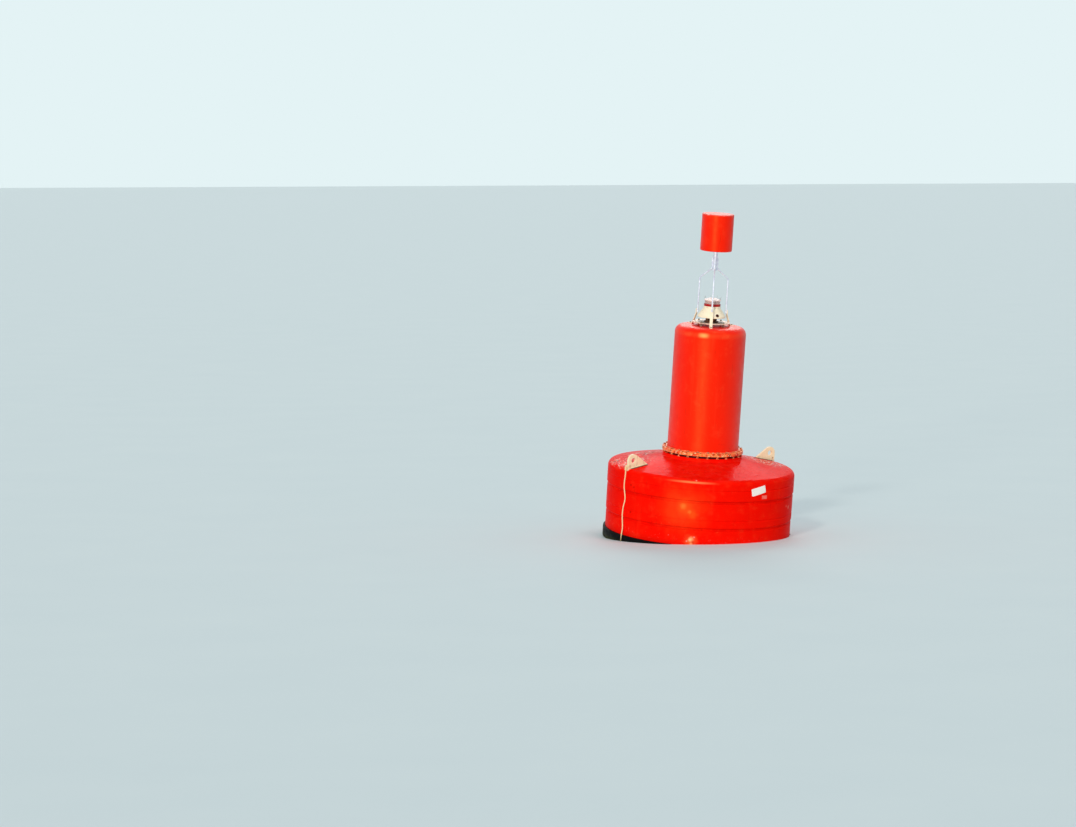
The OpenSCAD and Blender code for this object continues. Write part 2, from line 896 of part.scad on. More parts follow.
module shackle_pin(side) {
    head_t = 26;
    color(zinc)
        on_side(side)
            translate([moor_r, jaw_out, pin_z])
                rotate([90, 0, 0]) {
                    cylinder(h = 2 * jaw_out, d = pin_d);
                    translate([0, 0, -head_t])
                        hexagon(pin_d * 1.5, head_t);
                    translate([0, 0, 2 * jaw_out])
                        hexagon(pin_d * 1.5, head_t);
                }
}

// Loop of rope through the left lug's tie hole and round its edge
module lanyard_hitch() {
    color(rope)
        translate([-hitch_x, 0, tie_z])
            rotate_extrude()
                translate([hitch_r, 0])
                    circle(d = rope_d);
}

module lanyard() {
    color(rope) swept_tube(lanyard_route, rope_d, 10);
}

module lanyard_knot() {
    end = lanyard_route[len(lanyard_route) - 1];
    color(rope)
        translate(end - [0, 0, knot_d / 2 - 4])
            sphere(d = knot_d);
}

float_upper();
float_lower();
lug_pad(-1);  // lug_pad_left
lug_pad(1);  // lug_pad_right
lifting_lug(-1);  // lifting_lug_left
lifting_lug(1);  // lifting_lug_right
base_seal();
tower();
flange_bolts();
lantern_plate();
plate_spacers();
lantern_pedestal();
lantern_body();
lantern_core();
lantern_lens();
lantern_cap();
stand_leg(0);  // stand_leg_1
stand_leg(1);  // stand_leg_2
stand_leg(2);  // stand_leg_3
leg_bolts();
cage_bar(0);  // cage_bar_1
cage_bar(1);  // cage_bar_2
cage_bar(2);  // cage_bar_3
topmark_post();
topmark_can();
tail_plate();
tail_gussets();
tail_tube();
ballast_top_plate();
ballast_disc(0);  // ballast_disc_1
ballast_disc(1);  // ballast_disc_2
ballast_disc(2);  // ballast_disc_3
ballast_bottom_plate();
ballast_rods();
tail_foot();
anodes();
mooring_lug(-1);  // mooring_lug_left
mooring_lug(1);  // mooring_lug_right
tie_rod_nuts();
shackle(-1);  // shackle_left
shackle(1);  // shackle_right
shackle_pin(-1);  // shackle_pin_left
shackle_pin(1);  // shackle_pin_right
lanyard_hitch();
lanyard();
lanyard_knot();
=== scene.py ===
"""Looks of the channel buoy, in metres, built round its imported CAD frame."""

import json
import math
import random

import bmesh
import bpy
from mathutils import Matrix, Quaternion, Vector


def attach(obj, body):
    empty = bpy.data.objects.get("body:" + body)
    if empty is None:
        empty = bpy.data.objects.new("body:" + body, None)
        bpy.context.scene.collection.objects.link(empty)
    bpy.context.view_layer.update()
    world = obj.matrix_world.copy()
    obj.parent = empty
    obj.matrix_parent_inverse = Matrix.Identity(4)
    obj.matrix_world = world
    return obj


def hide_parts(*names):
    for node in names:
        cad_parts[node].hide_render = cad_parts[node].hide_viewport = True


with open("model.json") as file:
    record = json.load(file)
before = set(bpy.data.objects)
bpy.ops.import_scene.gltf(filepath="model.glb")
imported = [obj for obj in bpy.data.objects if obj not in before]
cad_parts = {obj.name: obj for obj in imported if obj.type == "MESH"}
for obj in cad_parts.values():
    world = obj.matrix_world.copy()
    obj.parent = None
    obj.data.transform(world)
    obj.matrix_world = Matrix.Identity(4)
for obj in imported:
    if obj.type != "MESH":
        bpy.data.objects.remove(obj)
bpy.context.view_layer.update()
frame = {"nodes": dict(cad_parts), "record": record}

# Camera, worked out on level water, in metres and degrees
CAMERA_DISTANCE = 48.2
CAMERA_HEIGHT = 4.727
CAMERA_YAW, CAMERA_PITCH, CAMERA_ROLL = 2.528, -3.655, -0.27
CAMERA_LENS_MM = 120.4
# How the buoy leans on the water, seen from the camera, and how far its lugs are turned from the view
LEAN_RIGHT, LEAN_FORWARD = 3.9, 4.8
LUG_TURN = 37.7
# Azimuth of the camera in the buoy's own frame
PHOTO_SIDE = -128

# Sizes and places that repeat those of the CAD source
FLOAT_R, NECK_R = 1.25, 0.53
# Height of the conical top if carried out to the float's side, its rise to the neck, and its slope
CONE_Z, CONE_RISE = 0.956, 0.133
CONE_SLOPE = math.atan(CONE_RISE / (FLOAT_R - NECK_R))
GROOVES_Z, RIM_Z = (0.305, 0.665), 0.925
LUG_T, PAD_T = 0.03, 0.006
EYE_X, EYE_Z = 1.153, 1.076
TIE_X, TIE_Z = 1.206, 1.00423
FLANGE_LOW, FLANGE_HIGH = 1.15, 1.207
TOWER_EDGE_R, TOWER_EDGE_Z, TOWER_TOP = 0.475, 2.765, 2.848
CAGE_TURN = -8
CAGE_R, BAR_R, POST_R = 0.218, 0.010, 0.029
PLATE_TOP = 2.898
LENS_Z, LENS_R = 3.142, 0.1003
CAN_Z, CAN_TOP = 3.850, 4.337
TAIL_R, TAIL_Z, TAIL_END = 0.1365, -0.540, -2.100
ANODE_Z = TAIL_Z - 0.62
# Mooring lugs' distance from the axis, their pads' underside, and the shackle pins' height and nut end
MOORING_X, MOORING_PAD_Z, PIN_Z, PIN_END_Y = 0.815, -0.537, -0.6297, 0.081
ROPE_D = 0.016
HITCH_R, HITCH_X = 0.028, 1.2329
# Distance outside the float's side, sideways sway, and drop below the tie hole, from the hitch to the knot
ROPE_POINTS_MM = [
    (11, 0, 0), (11, 0, 28), (12, -1, 52), (13, -1, 78), (13, 1, 110), (12, 5, 146),
    (12, 10, 186), (12, 14, 226), (12, 14, 266), (12, 7, 306), (12, -5, 346), (12, -16, 386),
    (12, -22, 426), (12, -18, 466), (12, -6, 506), (12, 5, 546), (12, 11, 586), (12, 14, 626),
    (12, 13, 666), (12, 9, 706), (12, 3, 746), (13, -4, 786), (15, -10, 826), (20, -13, 866),
    (27, -13, 906), (29, -11, 946), (29, -8, 986), (29, -5, 1026), (29, -2, 1066), (28, 0, 1106),
    (27, 1, 1146), (27, 1, 1186)]


# ---------- Camera and floor ----------

def water_to_row():
    """Matrix from the level water's frame, seen by the camera, to the leaning buoy's own frame."""
    lean = Vector((math.tan(math.radians(LEAN_RIGHT)), -math.tan(math.radians(LEAN_FORWARD)), 1))
    tilt = Vector((0, 0, 1)).rotation_difference(lean.normalized()).to_matrix().to_4x4()
    return (tilt @ Matrix.Rotation(math.radians(LUG_TURN), 4, "Z")).inverted()


WATER = water_to_row()


def make_camera():
    camera = bpy.data.objects.new("camera", bpy.data.cameras.new("camera"))
    bpy.context.scene.collection.objects.link(camera)
    camera.data.sensor_width = 36
    camera.data.lens = CAMERA_LENS_MM
    camera.data.clip_start = 1
    camera.data.clip_end = 20000
    aim = (Matrix.Rotation(math.radians(CAMERA_YAW), 4, "Z")
           @ Matrix.Rotation(math.radians(90 + CAMERA_PITCH), 4, "X")
           @ Matrix.Rotation(math.radians(CAMERA_ROLL), 4, "Z"))
    camera.matrix_world = WATER @ Matrix.Translation((0, -CAMERA_DISTANCE, CAMERA_HEIGHT)) @ aim
    bpy.context.scene.camera = camera


make_camera()


# ---------- Materials ----------

def colour(red, green, blue):
    """Linear colour of an sRGB one written from 0 to 255."""
    def linear(value):
        share = value / 255
        return share / 12.92 if share <= 0.04045 else ((share + 0.055) / 1.055) ** 2.4
    return (linear(red), linear(green), linear(blue), 1)


class Shader:
    """One material's node tree, with a short call for each kind of node used here."""

    def __init__(self, name, **constants):
        self.material = bpy.data.materials.new(name)
        self.material.use_nodes = True
        self.tree = self.material.node_tree
        self.tree.nodes.clear()
        self.surface = self.add("ShaderNodeBsdfPrincipled")
        self.add("ShaderNodeOutputMaterial", {"Surface": self.surface.outputs[0]})
        self.place = self.add("ShaderNodeTexCoord").outputs["Object"]
        self.tone = self.roughness = None
        for socket, value in constants.items():
            self.surface.inputs[socket.replace("_", " ")].default_value = value

    def add(self, kind, inputs=None, **settings):
        node = self.tree.nodes.new(kind)
        for key, value in settings.items():
            setattr(node, key, value)
        for key, value in (inputs or {}).items():
            self.put(node.inputs[key], value)
        return node

    def put(self, socket, value):
        if isinstance(value, bpy.types.NodeSocket):
            self.tree.links.new(value, socket)
        else:
            socket.default_value = value

    def finished(self):
        """The material, with the colour and roughness that have been worked out."""
        self.put(self.surface.inputs["Base Color"], self.tone)
        self.put(self.surface.inputs["Roughness"], self.roughness)
        return self.material

    def fractal(self, place, scale, detail, rough):
        return self.add("ShaderNodeTexNoise", {
            "Vector": place.outputs[0], "Scale": scale, "Detail": detail, "Roughness": rough}).outputs[0]

    def noise(self, scale, detail=3.0, rough=0.55, stretch=(1, 1, 1), shift=0.0):
        """Noise, stretched along the axes and shifted to another part of its pattern."""
        place = self.add("ShaderNodeMapping", {
            "Vector": self.place, "Scale": stretch, "Location": (shift, shift * 1.7, -shift)})
        return self.fractal(place, scale, detail, rough)

    def streaks(self, scale, detail, rough, shift):
        """Noise drawn out in plan, towards the photograph's side."""
        place = self.add("ShaderNodeMapping", {
            "Vector": self.place, "Rotation": (0, 0, math.radians(PHOTO_SIDE)), "Scale": (2.6, 1, 1),
            "Location": (shift, shift * 1.7, 0)}, vector_type="TEXTURE")
        return self.fractal(place, scale, detail, rough)

    def math(self, operation, *values):
        """Values joined one after another by an operation."""
        result = values[0]
        for value in values[1:] or (0.0,):
            result = self.add("ShaderNodeMath", {0: result, 1: value}, operation=operation).outputs[0]
        return result

    def times(self, *values):
        return self.math("MULTIPLY", *values)

    def most(self, *values):
        return self.math("MAXIMUM", *values)

    def step(self, value, low, high, to_low=0.0, to_high=1.0):
        """Smooth step of value from low to high."""
        return self.add("ShaderNodeMapRange", {
            "Value": value, "From Min": low, "From Max": high, "To Min": to_low, "To Max": to_high},
            interpolation_type="SMOOTHSTEP").outputs[0]

    def paint(self, share, tone):
        """Covers a share of the colour so far with another."""
        self.tone = self.mix(share, self.tone, tone)

    def blotch(self, noise, low, high, share, tone):
        """Paints a share of a colour where noise rises from low to high."""
        self.paint(self.times(self.step(noise, low, high), share), tone)

    def roughen(self, low, high, scale, detail=3.0):
        """Roughness that wanders from low to high."""
        self.roughness = self.step(self.noise(scale, detail), 0.3, 0.7, low, high)

    def mix(self, share, a, b):
        node = self.add("ShaderNodeMix", data_type="RGBA")
        for socket, value in ((node.inputs[0], share), (node.inputs[6], a), (node.inputs[7], b)):
            self.put(socket, value)
        return node.outputs[2]

    def blend(self, share, a, b):
        """Number between a and b."""
        return self.add("ShaderNodeMix", {0: share, 2: a, 3: b}, data_type="FLOAT").outputs[0]

    def axis(self, name):
        return self.add("ShaderNodeSeparateXYZ", {0: self.place}).outputs[name]

    def radius(self):
        """Distance from the buoy's axis."""
        flat = self.add("ShaderNodeVectorMath", {0: self.place, 1: (1, 1, 0)}, operation="MULTIPLY")
        return self.add("ShaderNodeVectorMath", {0: flat.outputs[0]}, operation="LENGTH").outputs["Value"]

    def between(self, value, low, high, soft):
        """1 from low to high, fading over soft on both sides."""
        return self.times(self.step(value, low - soft, low + soft),
                          self.step(value, high + soft, high - soft))

    def spot(self, point, size, edge=0.5):
        """1 at a point, fading to 0 at about size from it, with an edge torn by a share of the size."""
        gap = self.add("ShaderNodeVectorMath", {0: self.place, 1: point}, operation="DISTANCE")
        torn = self.math("ADD", gap.outputs["Value"], self.times(self.noise(3 / size), size * edge))
        return self.step(torn, size * (0.5 + edge), size * edge * 0.6)

    def bump(self, height, distance, strength):
        node = self.add("ShaderNodeBump", {
            "Height": height, "Distance": distance, "Strength": strength})
        previous = self.surface.inputs["Normal"]
        if previous.is_linked:
            self.tree.links.new(previous.links[0].from_socket, node.inputs["Normal"])
        self.tree.links.new(node.outputs[0], previous)


RED = colour(252, 20, 4)
RED_DEEP = colour(236, 6, 1)
RED_CHALKY = colour(252, 74, 40)
RED_DARK = colour(128, 12, 8)
DROPPING = colour(246, 216, 204)
RUST = colour(122, 58, 22)
RUST_DARK = colour(58, 28, 16)


def polar(radius, degrees, z):
    return Vector((radius * math.cos(math.radians(degrees)), radius * math.sin(math.radians(degrees)), z))


def red_plastic(name, chalk, ior):
    """Weathered red polyethylene, with chalky clouds, faint upright runs and fine scratches."""
    s = Shader(name, IOR=ior, Specular_IOR_Level=1.0, Specular_Tint=(1, 0.6, 0.12, 1))
    s.tone = s.mix(s.noise(2.3, 4), RED_DEEP, RED)
    s.blotch(s.noise(7, 6, 0.65, shift=3), 0.5, 0.78, chalk, RED_CHALKY)
    s.blotch(s.noise(16, 3, 0.5, stretch=(1, 1, 0.05), shift=9), 0.56, 0.8, 0.14, RED_CHALKY)
    s.blotch(s.noise(30, 5, 0.6, stretch=(1, 1, 0.12), shift=21), 0.6, 0.75, 0.25, RED_DARK)
    # Scratches lie where a smooth pattern crosses its middle
    line = s.math("ABSOLUTE", s.math("SUBTRACT", s.noise(3.2, 1, 0.4, stretch=(1, 1, 2.6), shift=6), 0.5))
    scratches = s.times(s.step(line, 0.0035, 0.001), s.step(s.noise(11, 3, shift=17), 0.54, 0.62))
    s.paint(s.times(scratches, 0.45), RED_CHALKY)
    s.roughness = s.step(s.noise(11, 5, shift=5), 0.3, 0.75, 0.36, 0.48)
    s.bump(s.noise(420, 2, 0.5), 0.0006, 0.25)
    s.bump(scratches, 0.0006, -0.5)
    s.bump(s.noise(5, 2, 0.4, shift=2), 0.004, 0.4)
    return s


# Radius, azimuth, height, size, strength and colour of the marks and painted glints on the float's side
MARKS_AND_GLINTS = [
    # Painted sun glow and sun glints on the front of the side
    (FLOAT_R, -137, 0.56, 0.62, 0.3, colour(255, 96, 34)),
    (FLOAT_R, -137, 0.591, 0.2, 0.22, colour(255, 128, 40)),
    (FLOAT_R, -132, 0.5, 0.13, 0.2, colour(255, 128, 40)),
    (FLOAT_R, -137.6, 0.6, 0.075, 0.32, colour(236, 160, 70)),
    (FLOAT_R, -133.6, 0.53, 0.05, 0.25, colour(236, 160, 70)),
    # A small pale scuff near the rim
    (1.23, -130.7, 0.95, 0.022, 0.5, colour(250, 190, 168)),
    # Painted glints of the water at the waterline, with a dark speck and two droppings among them
    (FLOAT_R, -131.8, 0.14, 0.17, 0.45, colour(255, 120, 60)),
    (FLOAT_R, -131.6, 0.17, 0.07, 0.6, colour(252, 190, 130)),
    (FLOAT_R, -130.4, 0.13, 0.05, 0.4, RED_DARK),
    (FLOAT_R, -132.4, 0.16, 0.05, 0.7, colour(252, 206, 150)),
    (FLOAT_R, -131.6, 0.105, 0.045, 0.7, colour(250, 190, 130)),
    (FLOAT_R, -134.2, 0.14, 0.026, 0.8, DROPPING),
    (FLOAT_R, -129.8, 0.2, 0.026, 0.8, DROPPING),
    # Painted shadow of the rope, as dark spots beside it
    (FLOAT_R, -174.9, 0.77, 0.026, 0.75, RED_DARK),
    (FLOAT_R, -172.2, 0.75, 0.022, 0.7, RED_DARK),
    (FLOAT_R, -174.3, 0.411, 0.034, 0.7, RED_DARK),
    # A scratch, pale orange clouds round the far sides, and a dark spot at the back
    (FLOAT_R, -56, 0.535, 0.05, 0.65, colour(255, 150, 130)),
    (FLOAT_R, -60, 0.56, 0.03, 0.65, colour(255, 150, 130)),
    (FLOAT_R, 20, 0.5, 0.4, 0.2, colour(255, 96, 34)),
    (FLOAT_R, 95, 0.45, 0.5, 0.16, colour(255, 96, 34)),
    (FLOAT_R, 130, 0.75, 0.06, 0.6, RED_DARK),
]


def float_red():
    s = red_plastic("red_float", 0.25, 1.03)
    z, r = s.axis("Z"), s.radius()
    top = s.times(s.step(z, RIM_Z, RIM_Z + 0.037), s.step(r, NECK_R - 0.005, NECK_R + 0.015))
    # Faint pink over the whole top: a painted reflection of the pale sky
    film = s.step(s.noise(9, 6, 0.7, shift=11), 0.42, 0.7)
    s.paint(s.times(film, top, 0.04), colour(255, 132, 112))
    # Bird droppings, dark dirt and a pink mottle, crowded towards the back and the two ends of the top
    crowded = s.most(*(s.spot(polar(radius, degrees, 1), size, 0.3) for radius, degrees, size in (
        (1.05, 160, 0.75), (0.8, 128, 0.5), (0.9, -18, 0.7), (0.8, 60, 0.5))))
    drops = s.most(s.step(s.streaks(26, 2.5, 0.45, 4), 0.57, 0.61),
                   s.step(s.streaks(60, 2, 0.4, 14), 0.62, 0.66))
    # Pink mottle at the ends and back of the top: a painted reflection of the pale sky
    s.paint(s.times(film, crowded, top, 0.75), colour(255, 140, 112))
    s.paint(s.times(drops, crowded, top, 0.95), DROPPING)
    dirt = s.step(s.streaks(30, 2.5, 0.5, 24), 0.57, 0.62)
    s.paint(s.times(dirt, crowded, top, 0.85), RED_DARK)
    dust = s.step(s.noise(13, 6, 0.7, shift=44), 0.5, 0.7)
    s.paint(s.times(dust, top, 0.22), RED_DARK)
    # Wet band, and pale salt line over the seam
    wet = s.step(s.math("ADD", z, s.times(s.noise(6, 3), 0.06)), 0.2, 0.12)
    s.paint(s.times(wet, 0.3), colour(176, 16, 8))
    salt = s.times(s.between(z, 0.13, 0.2, 0.03), s.step(s.noise(38, 6, 0.7, shift=8), 0.62, 0.7))
    s.paint(s.times(salt, 0.5), DROPPING)
    # Rounded rim: a painted sun highlight on one side, over paler rubbed wear in patches all round
    highlight_and_wear = s.times(s.between(z, RIM_Z - 0.011, RIM_Z + 0.011, 0.010),
                     s.most(s.times(s.spot(polar(FLOAT_R, -133, RIM_Z - 0.005), 0.74, 0.1), 0.8),
                            s.step(s.noise(3, 4, shift=61), 0.52, 0.7, 0, 0.2)))
    s.paint(highlight_and_wear, colour(255, 140, 84))
    # Darker along the grooves
    for height in GROOVES_Z:
        groove_darkening = s.times(s.between(z, height - 0.016, height + 0.016, 0.012),
                        s.step(s.noise(4, 5), 0.3, 0.6))
        s.paint(s.times(groove_darkening, 0.2), RED_DARK)
    # Scuffs and splashes, painted sun and water glints, and the rubbed patch below the label
    for radius, degrees, height, size, share, tone in MARKS_AND_GLINTS:
        s.paint(s.times(s.spot(polar(radius, degrees, height), size), share), tone)
    patch = s.times(s.between(s.axis("X"), 0.058, 0.148, 0.006), s.between(z, 0.714, 0.760, 0.006),
                    s.step(s.axis("Y"), -1.1, -1.2))
    worn = s.step(s.noise(30, 5, 0.6, shift=5), 0.3, 0.6, 0.25, 0.5)
    s.paint(s.times(patch, worn), colour(255, 160, 146))
    s.roughness = s.blend(top, s.math("ADD", s.roughness, -0.08), s.blend(film, 0.22, 0.34))
    return s.finished()


def tower_red():
    s = red_plastic("red_tower", 0.3, 1.3)
    z = s.axis("Z")
    flange = s.between(z, FLANGE_LOW, FLANGE_HIGH, 0.004)
    s.paint(s.times(flange, s.step(s.noise(15, 6, 0.7), 0.36, 0.56), 0.85), colour(250, 160, 92))
    s.paint(s.times(flange, s.step(s.noise(24, 4, shift=3), 0.52, 0.6), 0.8), colour(150, 44, 20))
    s.paint(s.times(flange, s.step(s.noise(32, 4, shift=23), 0.58, 0.63), 0.85), colour(248, 222, 176))
    # Splashed dirt low on the tower
    low = s.times(s.step(z, 1.5, 1.2), s.step(s.noise(34, 6, 0.7, shift=12), 0.58, 0.68))
    s.paint(s.times(low, 0.45), RED_DARK)
    # Top edge: a painted sun highlight on one side, over pale rubbed wear in patches all round
    highlight_and_wear = s.times(s.between(z, TOWER_EDGE_Z - 0.030, TOWER_EDGE_Z + 0.025, 0.022),
                     s.most(s.times(s.spot(polar(TOWER_EDGE_R, -139, TOWER_EDGE_Z), 0.19, 0.12), 0.85),
                            s.step(s.noise(4, 4, shift=61), 0.52, 0.7, 0.05, 0.14)))
    s.paint(highlight_and_wear, colour(255, 168, 96))
    return s.finished()


def can_red():
    s = red_plastic("red_can", 0.25, 1.3)
    z = s.axis("Z")
    top = s.step(z, CAN_TOP - 0.011, CAN_TOP)
    # Top edge paler: a painted reflection of the pale sky
    s.paint(s.times(top, 0.5), colour(226, 120, 116))
    drops = s.times(s.step(s.noise(46, 2.5, 0.5, shift=4), 0.58, 0.62), top,
                    s.step(s.noise(7, 3, shift=7), 0.44, 0.56))
    s.paint(s.times(drops, 0.8), DROPPING)
    return s.finished()


def black_plastic():
    s = Shader("black_float", IOR=1.12, Specular_IOR_Level=0.6)
    z = s.axis("Z")
    s.tone = s.mix(s.noise(5, 5, 0.65), colour(4, 4, 5), colour(15, 14, 14))
    scuffs = s.step(s.noise(24, 6, 0.7, stretch=(1, 1, 0.4), shift=6), 0.6, 0.7)
    s.paint(s.times(scuffs, 0.25), colour(84, 82, 78))
    weed = s.times(s.step(z, 0.03, -0.05), s.step(s.noise(9, 6, 0.7, shift=4), 0.36, 0.6))
    s.paint(s.times(weed, 0.8), s.mix(s.noise(40, 3), colour(38, 46, 22), colour(74, 76, 40)))
    slime = s.times(s.step(z, -0.06, -0.25), s.step(s.noise(3, 5, shift=9), 0.4, 0.65))
    s.paint(s.times(slime, 0.6), colour(84, 74, 56))
    s.roughen(0.42, 0.7, 12, 4)
    s.bump(s.noise(60, 4, 0.6), 0.003, 0.5)
    return s.finished()


def cream_paint(name, dark, light, rusted_places=()):
    """Weathered paint on steel, chipped, and rusted at places given as a point and a size."""
    s = Shader(name, IOR=1.5, Specular_IOR_Level=0.4)
    s.tone = s.mix(s.noise(14, 5, 0.6), dark, light)
    s.blotch(s.noise(9, 6, 0.7, stretch=(1, 1, 0.3), shift=6), 0.52, 0.72, 0.45, colour(150, 124, 88))
    runs = s.step(s.noise(46, 5, 0.6, stretch=(1, 1, 0.08), shift=15), 0.6, 0.74)
    s.paint(s.times(runs, 0.5), RUST)
    chips = s.step(s.noise(55, 6, 0.75, shift=2), 0.64, 0.68)
    for place, size in rusted_places:
        rusted = s.times(s.spot(place, size, 0.4), s.step(s.noise(60, 5, 0.6, shift=33), 0.4, 0.6))
        s.paint(s.times(rusted, 0.8), RUST)
    s.paint(chips, s.mix(s.noise(120), RUST_DARK, RUST))
    s.roughen(0.34, 0.6, 30, 4)
    s.bump(s.noise(180, 4), 0.0008, 0.6)
    s.bump(chips, 0.0005, -0.6)
    return s.finished()


def galvanised(name, light, rust, tint, slime=0.0, shaded_r=0.0):
    """Hot-dip zinc with spangle, dull bloom and rust runs.

    Light and tint scale its grey, and rust is how far the runs spread. Slime is the share of brown-green
    film, for zinc under water. A dark painted shade lies on the lantern's plate under the lantern body,
    out to the radius given last.
    """
    def shade(*values):
        return colour(*(min(255, v * light * t) for v, t in zip(values, tint)))

    s = Shader(name, Metallic=0.35, IOR=1.5)
    spangle = s.add("ShaderNodeTexVoronoi", {"Vector": s.place, "Scale": 46}).outputs["Color"]
    grey = s.add("ShaderNodeRGBToBW", {0: spangle}).outputs[0]
    s.tone = s.mix(grey, shade(186, 188, 184), shade(228, 228, 220))
    s.blotch(s.noise(16, 6, 0.7), 0.45, 0.72, 0.5, shade(208, 208, 200))
    stain = s.step(s.noise(12, 6, 0.7, stretch=(1, 1, 0.25), shift=8),
                   0.74 - rust * 0.4, 0.86 - rust * 0.3)
    s.paint(s.times(stain, 0.8), s.mix(s.noise(60, 4), RUST_DARK, RUST))
    pits = s.step(s.noise(95, 5, 0.7, shift=31), 0.66, 0.72)
    s.paint(s.times(pits, 0.7), RUST_DARK)
    s.roughness = s.step(grey, 0, 1, 0.36, 0.56)
    # Painted shade on the plate under the lantern body, dark brown near the axis
    if shaded_r:
        painted_shade = s.times(s.step(s.radius(), shaded_r, shaded_r * 0.86),
                            s.step(s.axis("Z"), PLATE_TOP - 0.003, PLATE_TOP - 0.001))
        s.paint(s.times(painted_shade, 0.85), s.mix(s.noise(50, 4), colour(44, 34, 26), colour(96, 66, 42)))
    if slime:
        film = s.step(s.noise(6, 7, 0.7, stretch=(1, 1, 0.5), shift=51), 0.34, 0.62)
        s.paint(s.times(film, slime), s.mix(s.noise(26, 5), colour(58, 62, 34), colour(118, 106, 70)))
        s.roughness = s.blend(film, s.roughness, 0.72)
    s.bump(s.noise(140, 4), 0.001, 0.35)
    return s.finished()


def rusted_iron():
    s = Shader("rusted_iron", Metallic=0.25, IOR=1.5)
    s.tone = s.mix(s.step(s.noise(18, 8, 0.7), 0.35, 0.68), colour(52, 38, 31), colour(126, 66, 32))
    s.paint(s.step(s.noise(70, 5, 0.7, shift=5), 0.5, 0.72), colour(168, 96, 46))
    s.roughen(0.6, 0.9, 50, 4)
    s.bump(s.noise(90, 8, 0.7), 0.004, 0.7)
    return s.finished()


def rusty_bolts():
    """Old paint, cream and orange, over the rust of the flange's bolts."""
    s = Shader("rusty_bolts", IOR=1.45, Specular_IOR_Level=0.3)
    s.tone = s.mix(s.step(s.noise(34, 5, 0.6), 0.42, 0.58), colour(150, 62, 30), colour(226, 122, 74))
    s.blotch(s.noise(60, 4, shift=7), 0.56, 0.62, 0.8, colour(240, 206, 160))
    s.blotch(s.noise(48, 4, shift=27), 0.6, 0.66, 0.8, RUST_DARK)
    s.roughen(0.55, 0.8, 80)
    s.bump(s.noise(170, 5, 0.6), 0.0015, 0.6)
    return s.finished()


def rubber():
    s = Shader("rubber", IOR=1.5, Specular_IOR_Level=0.25)
    s.tone = s.mix(s.noise(30, 4), colour(20, 12, 12), colour(84, 16, 10))
    s.roughen(0.6, 0.82, 60)
    s.bump(s.noise(200), 0.0006, 0.5)
    return s.finished()


def zinc():
    s = Shader("anode_zinc", Metallic=0.55, IOR=1.5)
    s.tone = s.mix(s.step(s.noise(38, 7, 0.7), 0.4, 0.65), colour(126, 128, 130), colour(208, 210, 208))
    s.blotch(s.noise(14, 5, 0.7, shift=9), 0.5, 0.66, 0.6, colour(232, 232, 226))
    s.roughen(0.55, 0.85, 80, 4)
    s.bump(s.noise(70, 6, 0.7), 0.004, 0.8)
    return s.finished()


def lamp_red():
    s = Shader("lamp_red", IOR=1.5, Specular_IOR_Level=0.3)
    s.tone = s.mix(s.noise(40), colour(120, 8, 14), colour(196, 20, 18))
    s.roughen(0.2, 0.34, 90)
    return s.finished()


def lens_glass():
    s = Shader("lens_glass", IOR=1.49, Transmission_Weight=0.55)
    s.tone = s.mix(s.noise(30), colour(250, 214, 210), colour(255, 238, 234))
    s.roughen(0.14, 0.3, 60, 4)
    s.bump(s.noise(120), 0.0002, 0.4)
    return s.finished()


def cap_white():
    """Milky plastic of the lantern's cap."""
    s = Shader("cap_white", IOR=1.49, Transmission_Weight=0.15)
    s.tone = s.mix(s.noise(18, 4), colour(244, 212, 206), colour(252, 234, 228))
    s.blotch(s.noise(26, 5, 0.7, shift=5), 0.56, 0.7, 0.4, colour(196, 160, 140))
    s.roughen(0.24, 0.4, 60, 4)
    s.bump(s.noise(150), 0.0003, 0.4)
    return s.finished()


def label_white():
    """White enamel of the blank plate."""
    s = Shader("label_white", IOR=1.5, Specular_IOR_Level=0.35)
    s.tone = s.mix(s.noise(22, 4), colour(238, 232, 226), colour(250, 248, 244))
    s.blotch(s.noise(30, 6, 0.7, shift=5), 0.54, 0.7, 0.35, colour(206, 178, 160))
    s.paint(s.step(s.noise(85, 5, 0.7, shift=12), 0.68, 0.72), RUST)
    s.roughen(0.3, 0.5, 40, 4)
    s.bump(s.noise(160, 3), 0.0004, 0.4)
    return s.finished()


def rope_fibre():
    s = Shader("rope_fibre", IOR=1.45, Sheen_Weight=0.3)
    s.tone = s.mix(s.noise(160, 4, 0.6), colour(222, 184, 122), colour(252, 236, 196))
    s.paint(s.step(s.axis("Z"), 0.12, -0.02), colour(112, 96, 50))
    s.roughen(0.7, 0.95, 220)
    s.bump(s.noise(900, 2, stretch=(1, 1, 0.4)), 0.0008, 0.8)
    return s.finished()


MATERIALS = {
    "galvanised": galvanised("galvanised", 1.1, 0.12, (0.96, 0.98, 1.12)),
    "rubber": rubber(),
    "cream_paint": cream_paint("cream_paint", colour(238, 218, 178), colour(250, 238, 204), [
        ((side * x, 0, z), size) for side in (-1, 1)
        for x, z, size in ((EYE_X, EYE_Z, 0.066), (TIE_X, TIE_Z, 0.04), (0.97, 1.02, 0.05))]),
    "iron": rusted_iron(),
    "anode_zinc": zinc(),
    "lamp_red": lamp_red(),
    "lens": lens_glass(),
    "rope": rope_fibre(),
    "black_plastic": black_plastic(),
}
LANTERN_CREAM = cream_paint("lantern_cream", colour(240, 226, 196), colour(248, 240, 216))
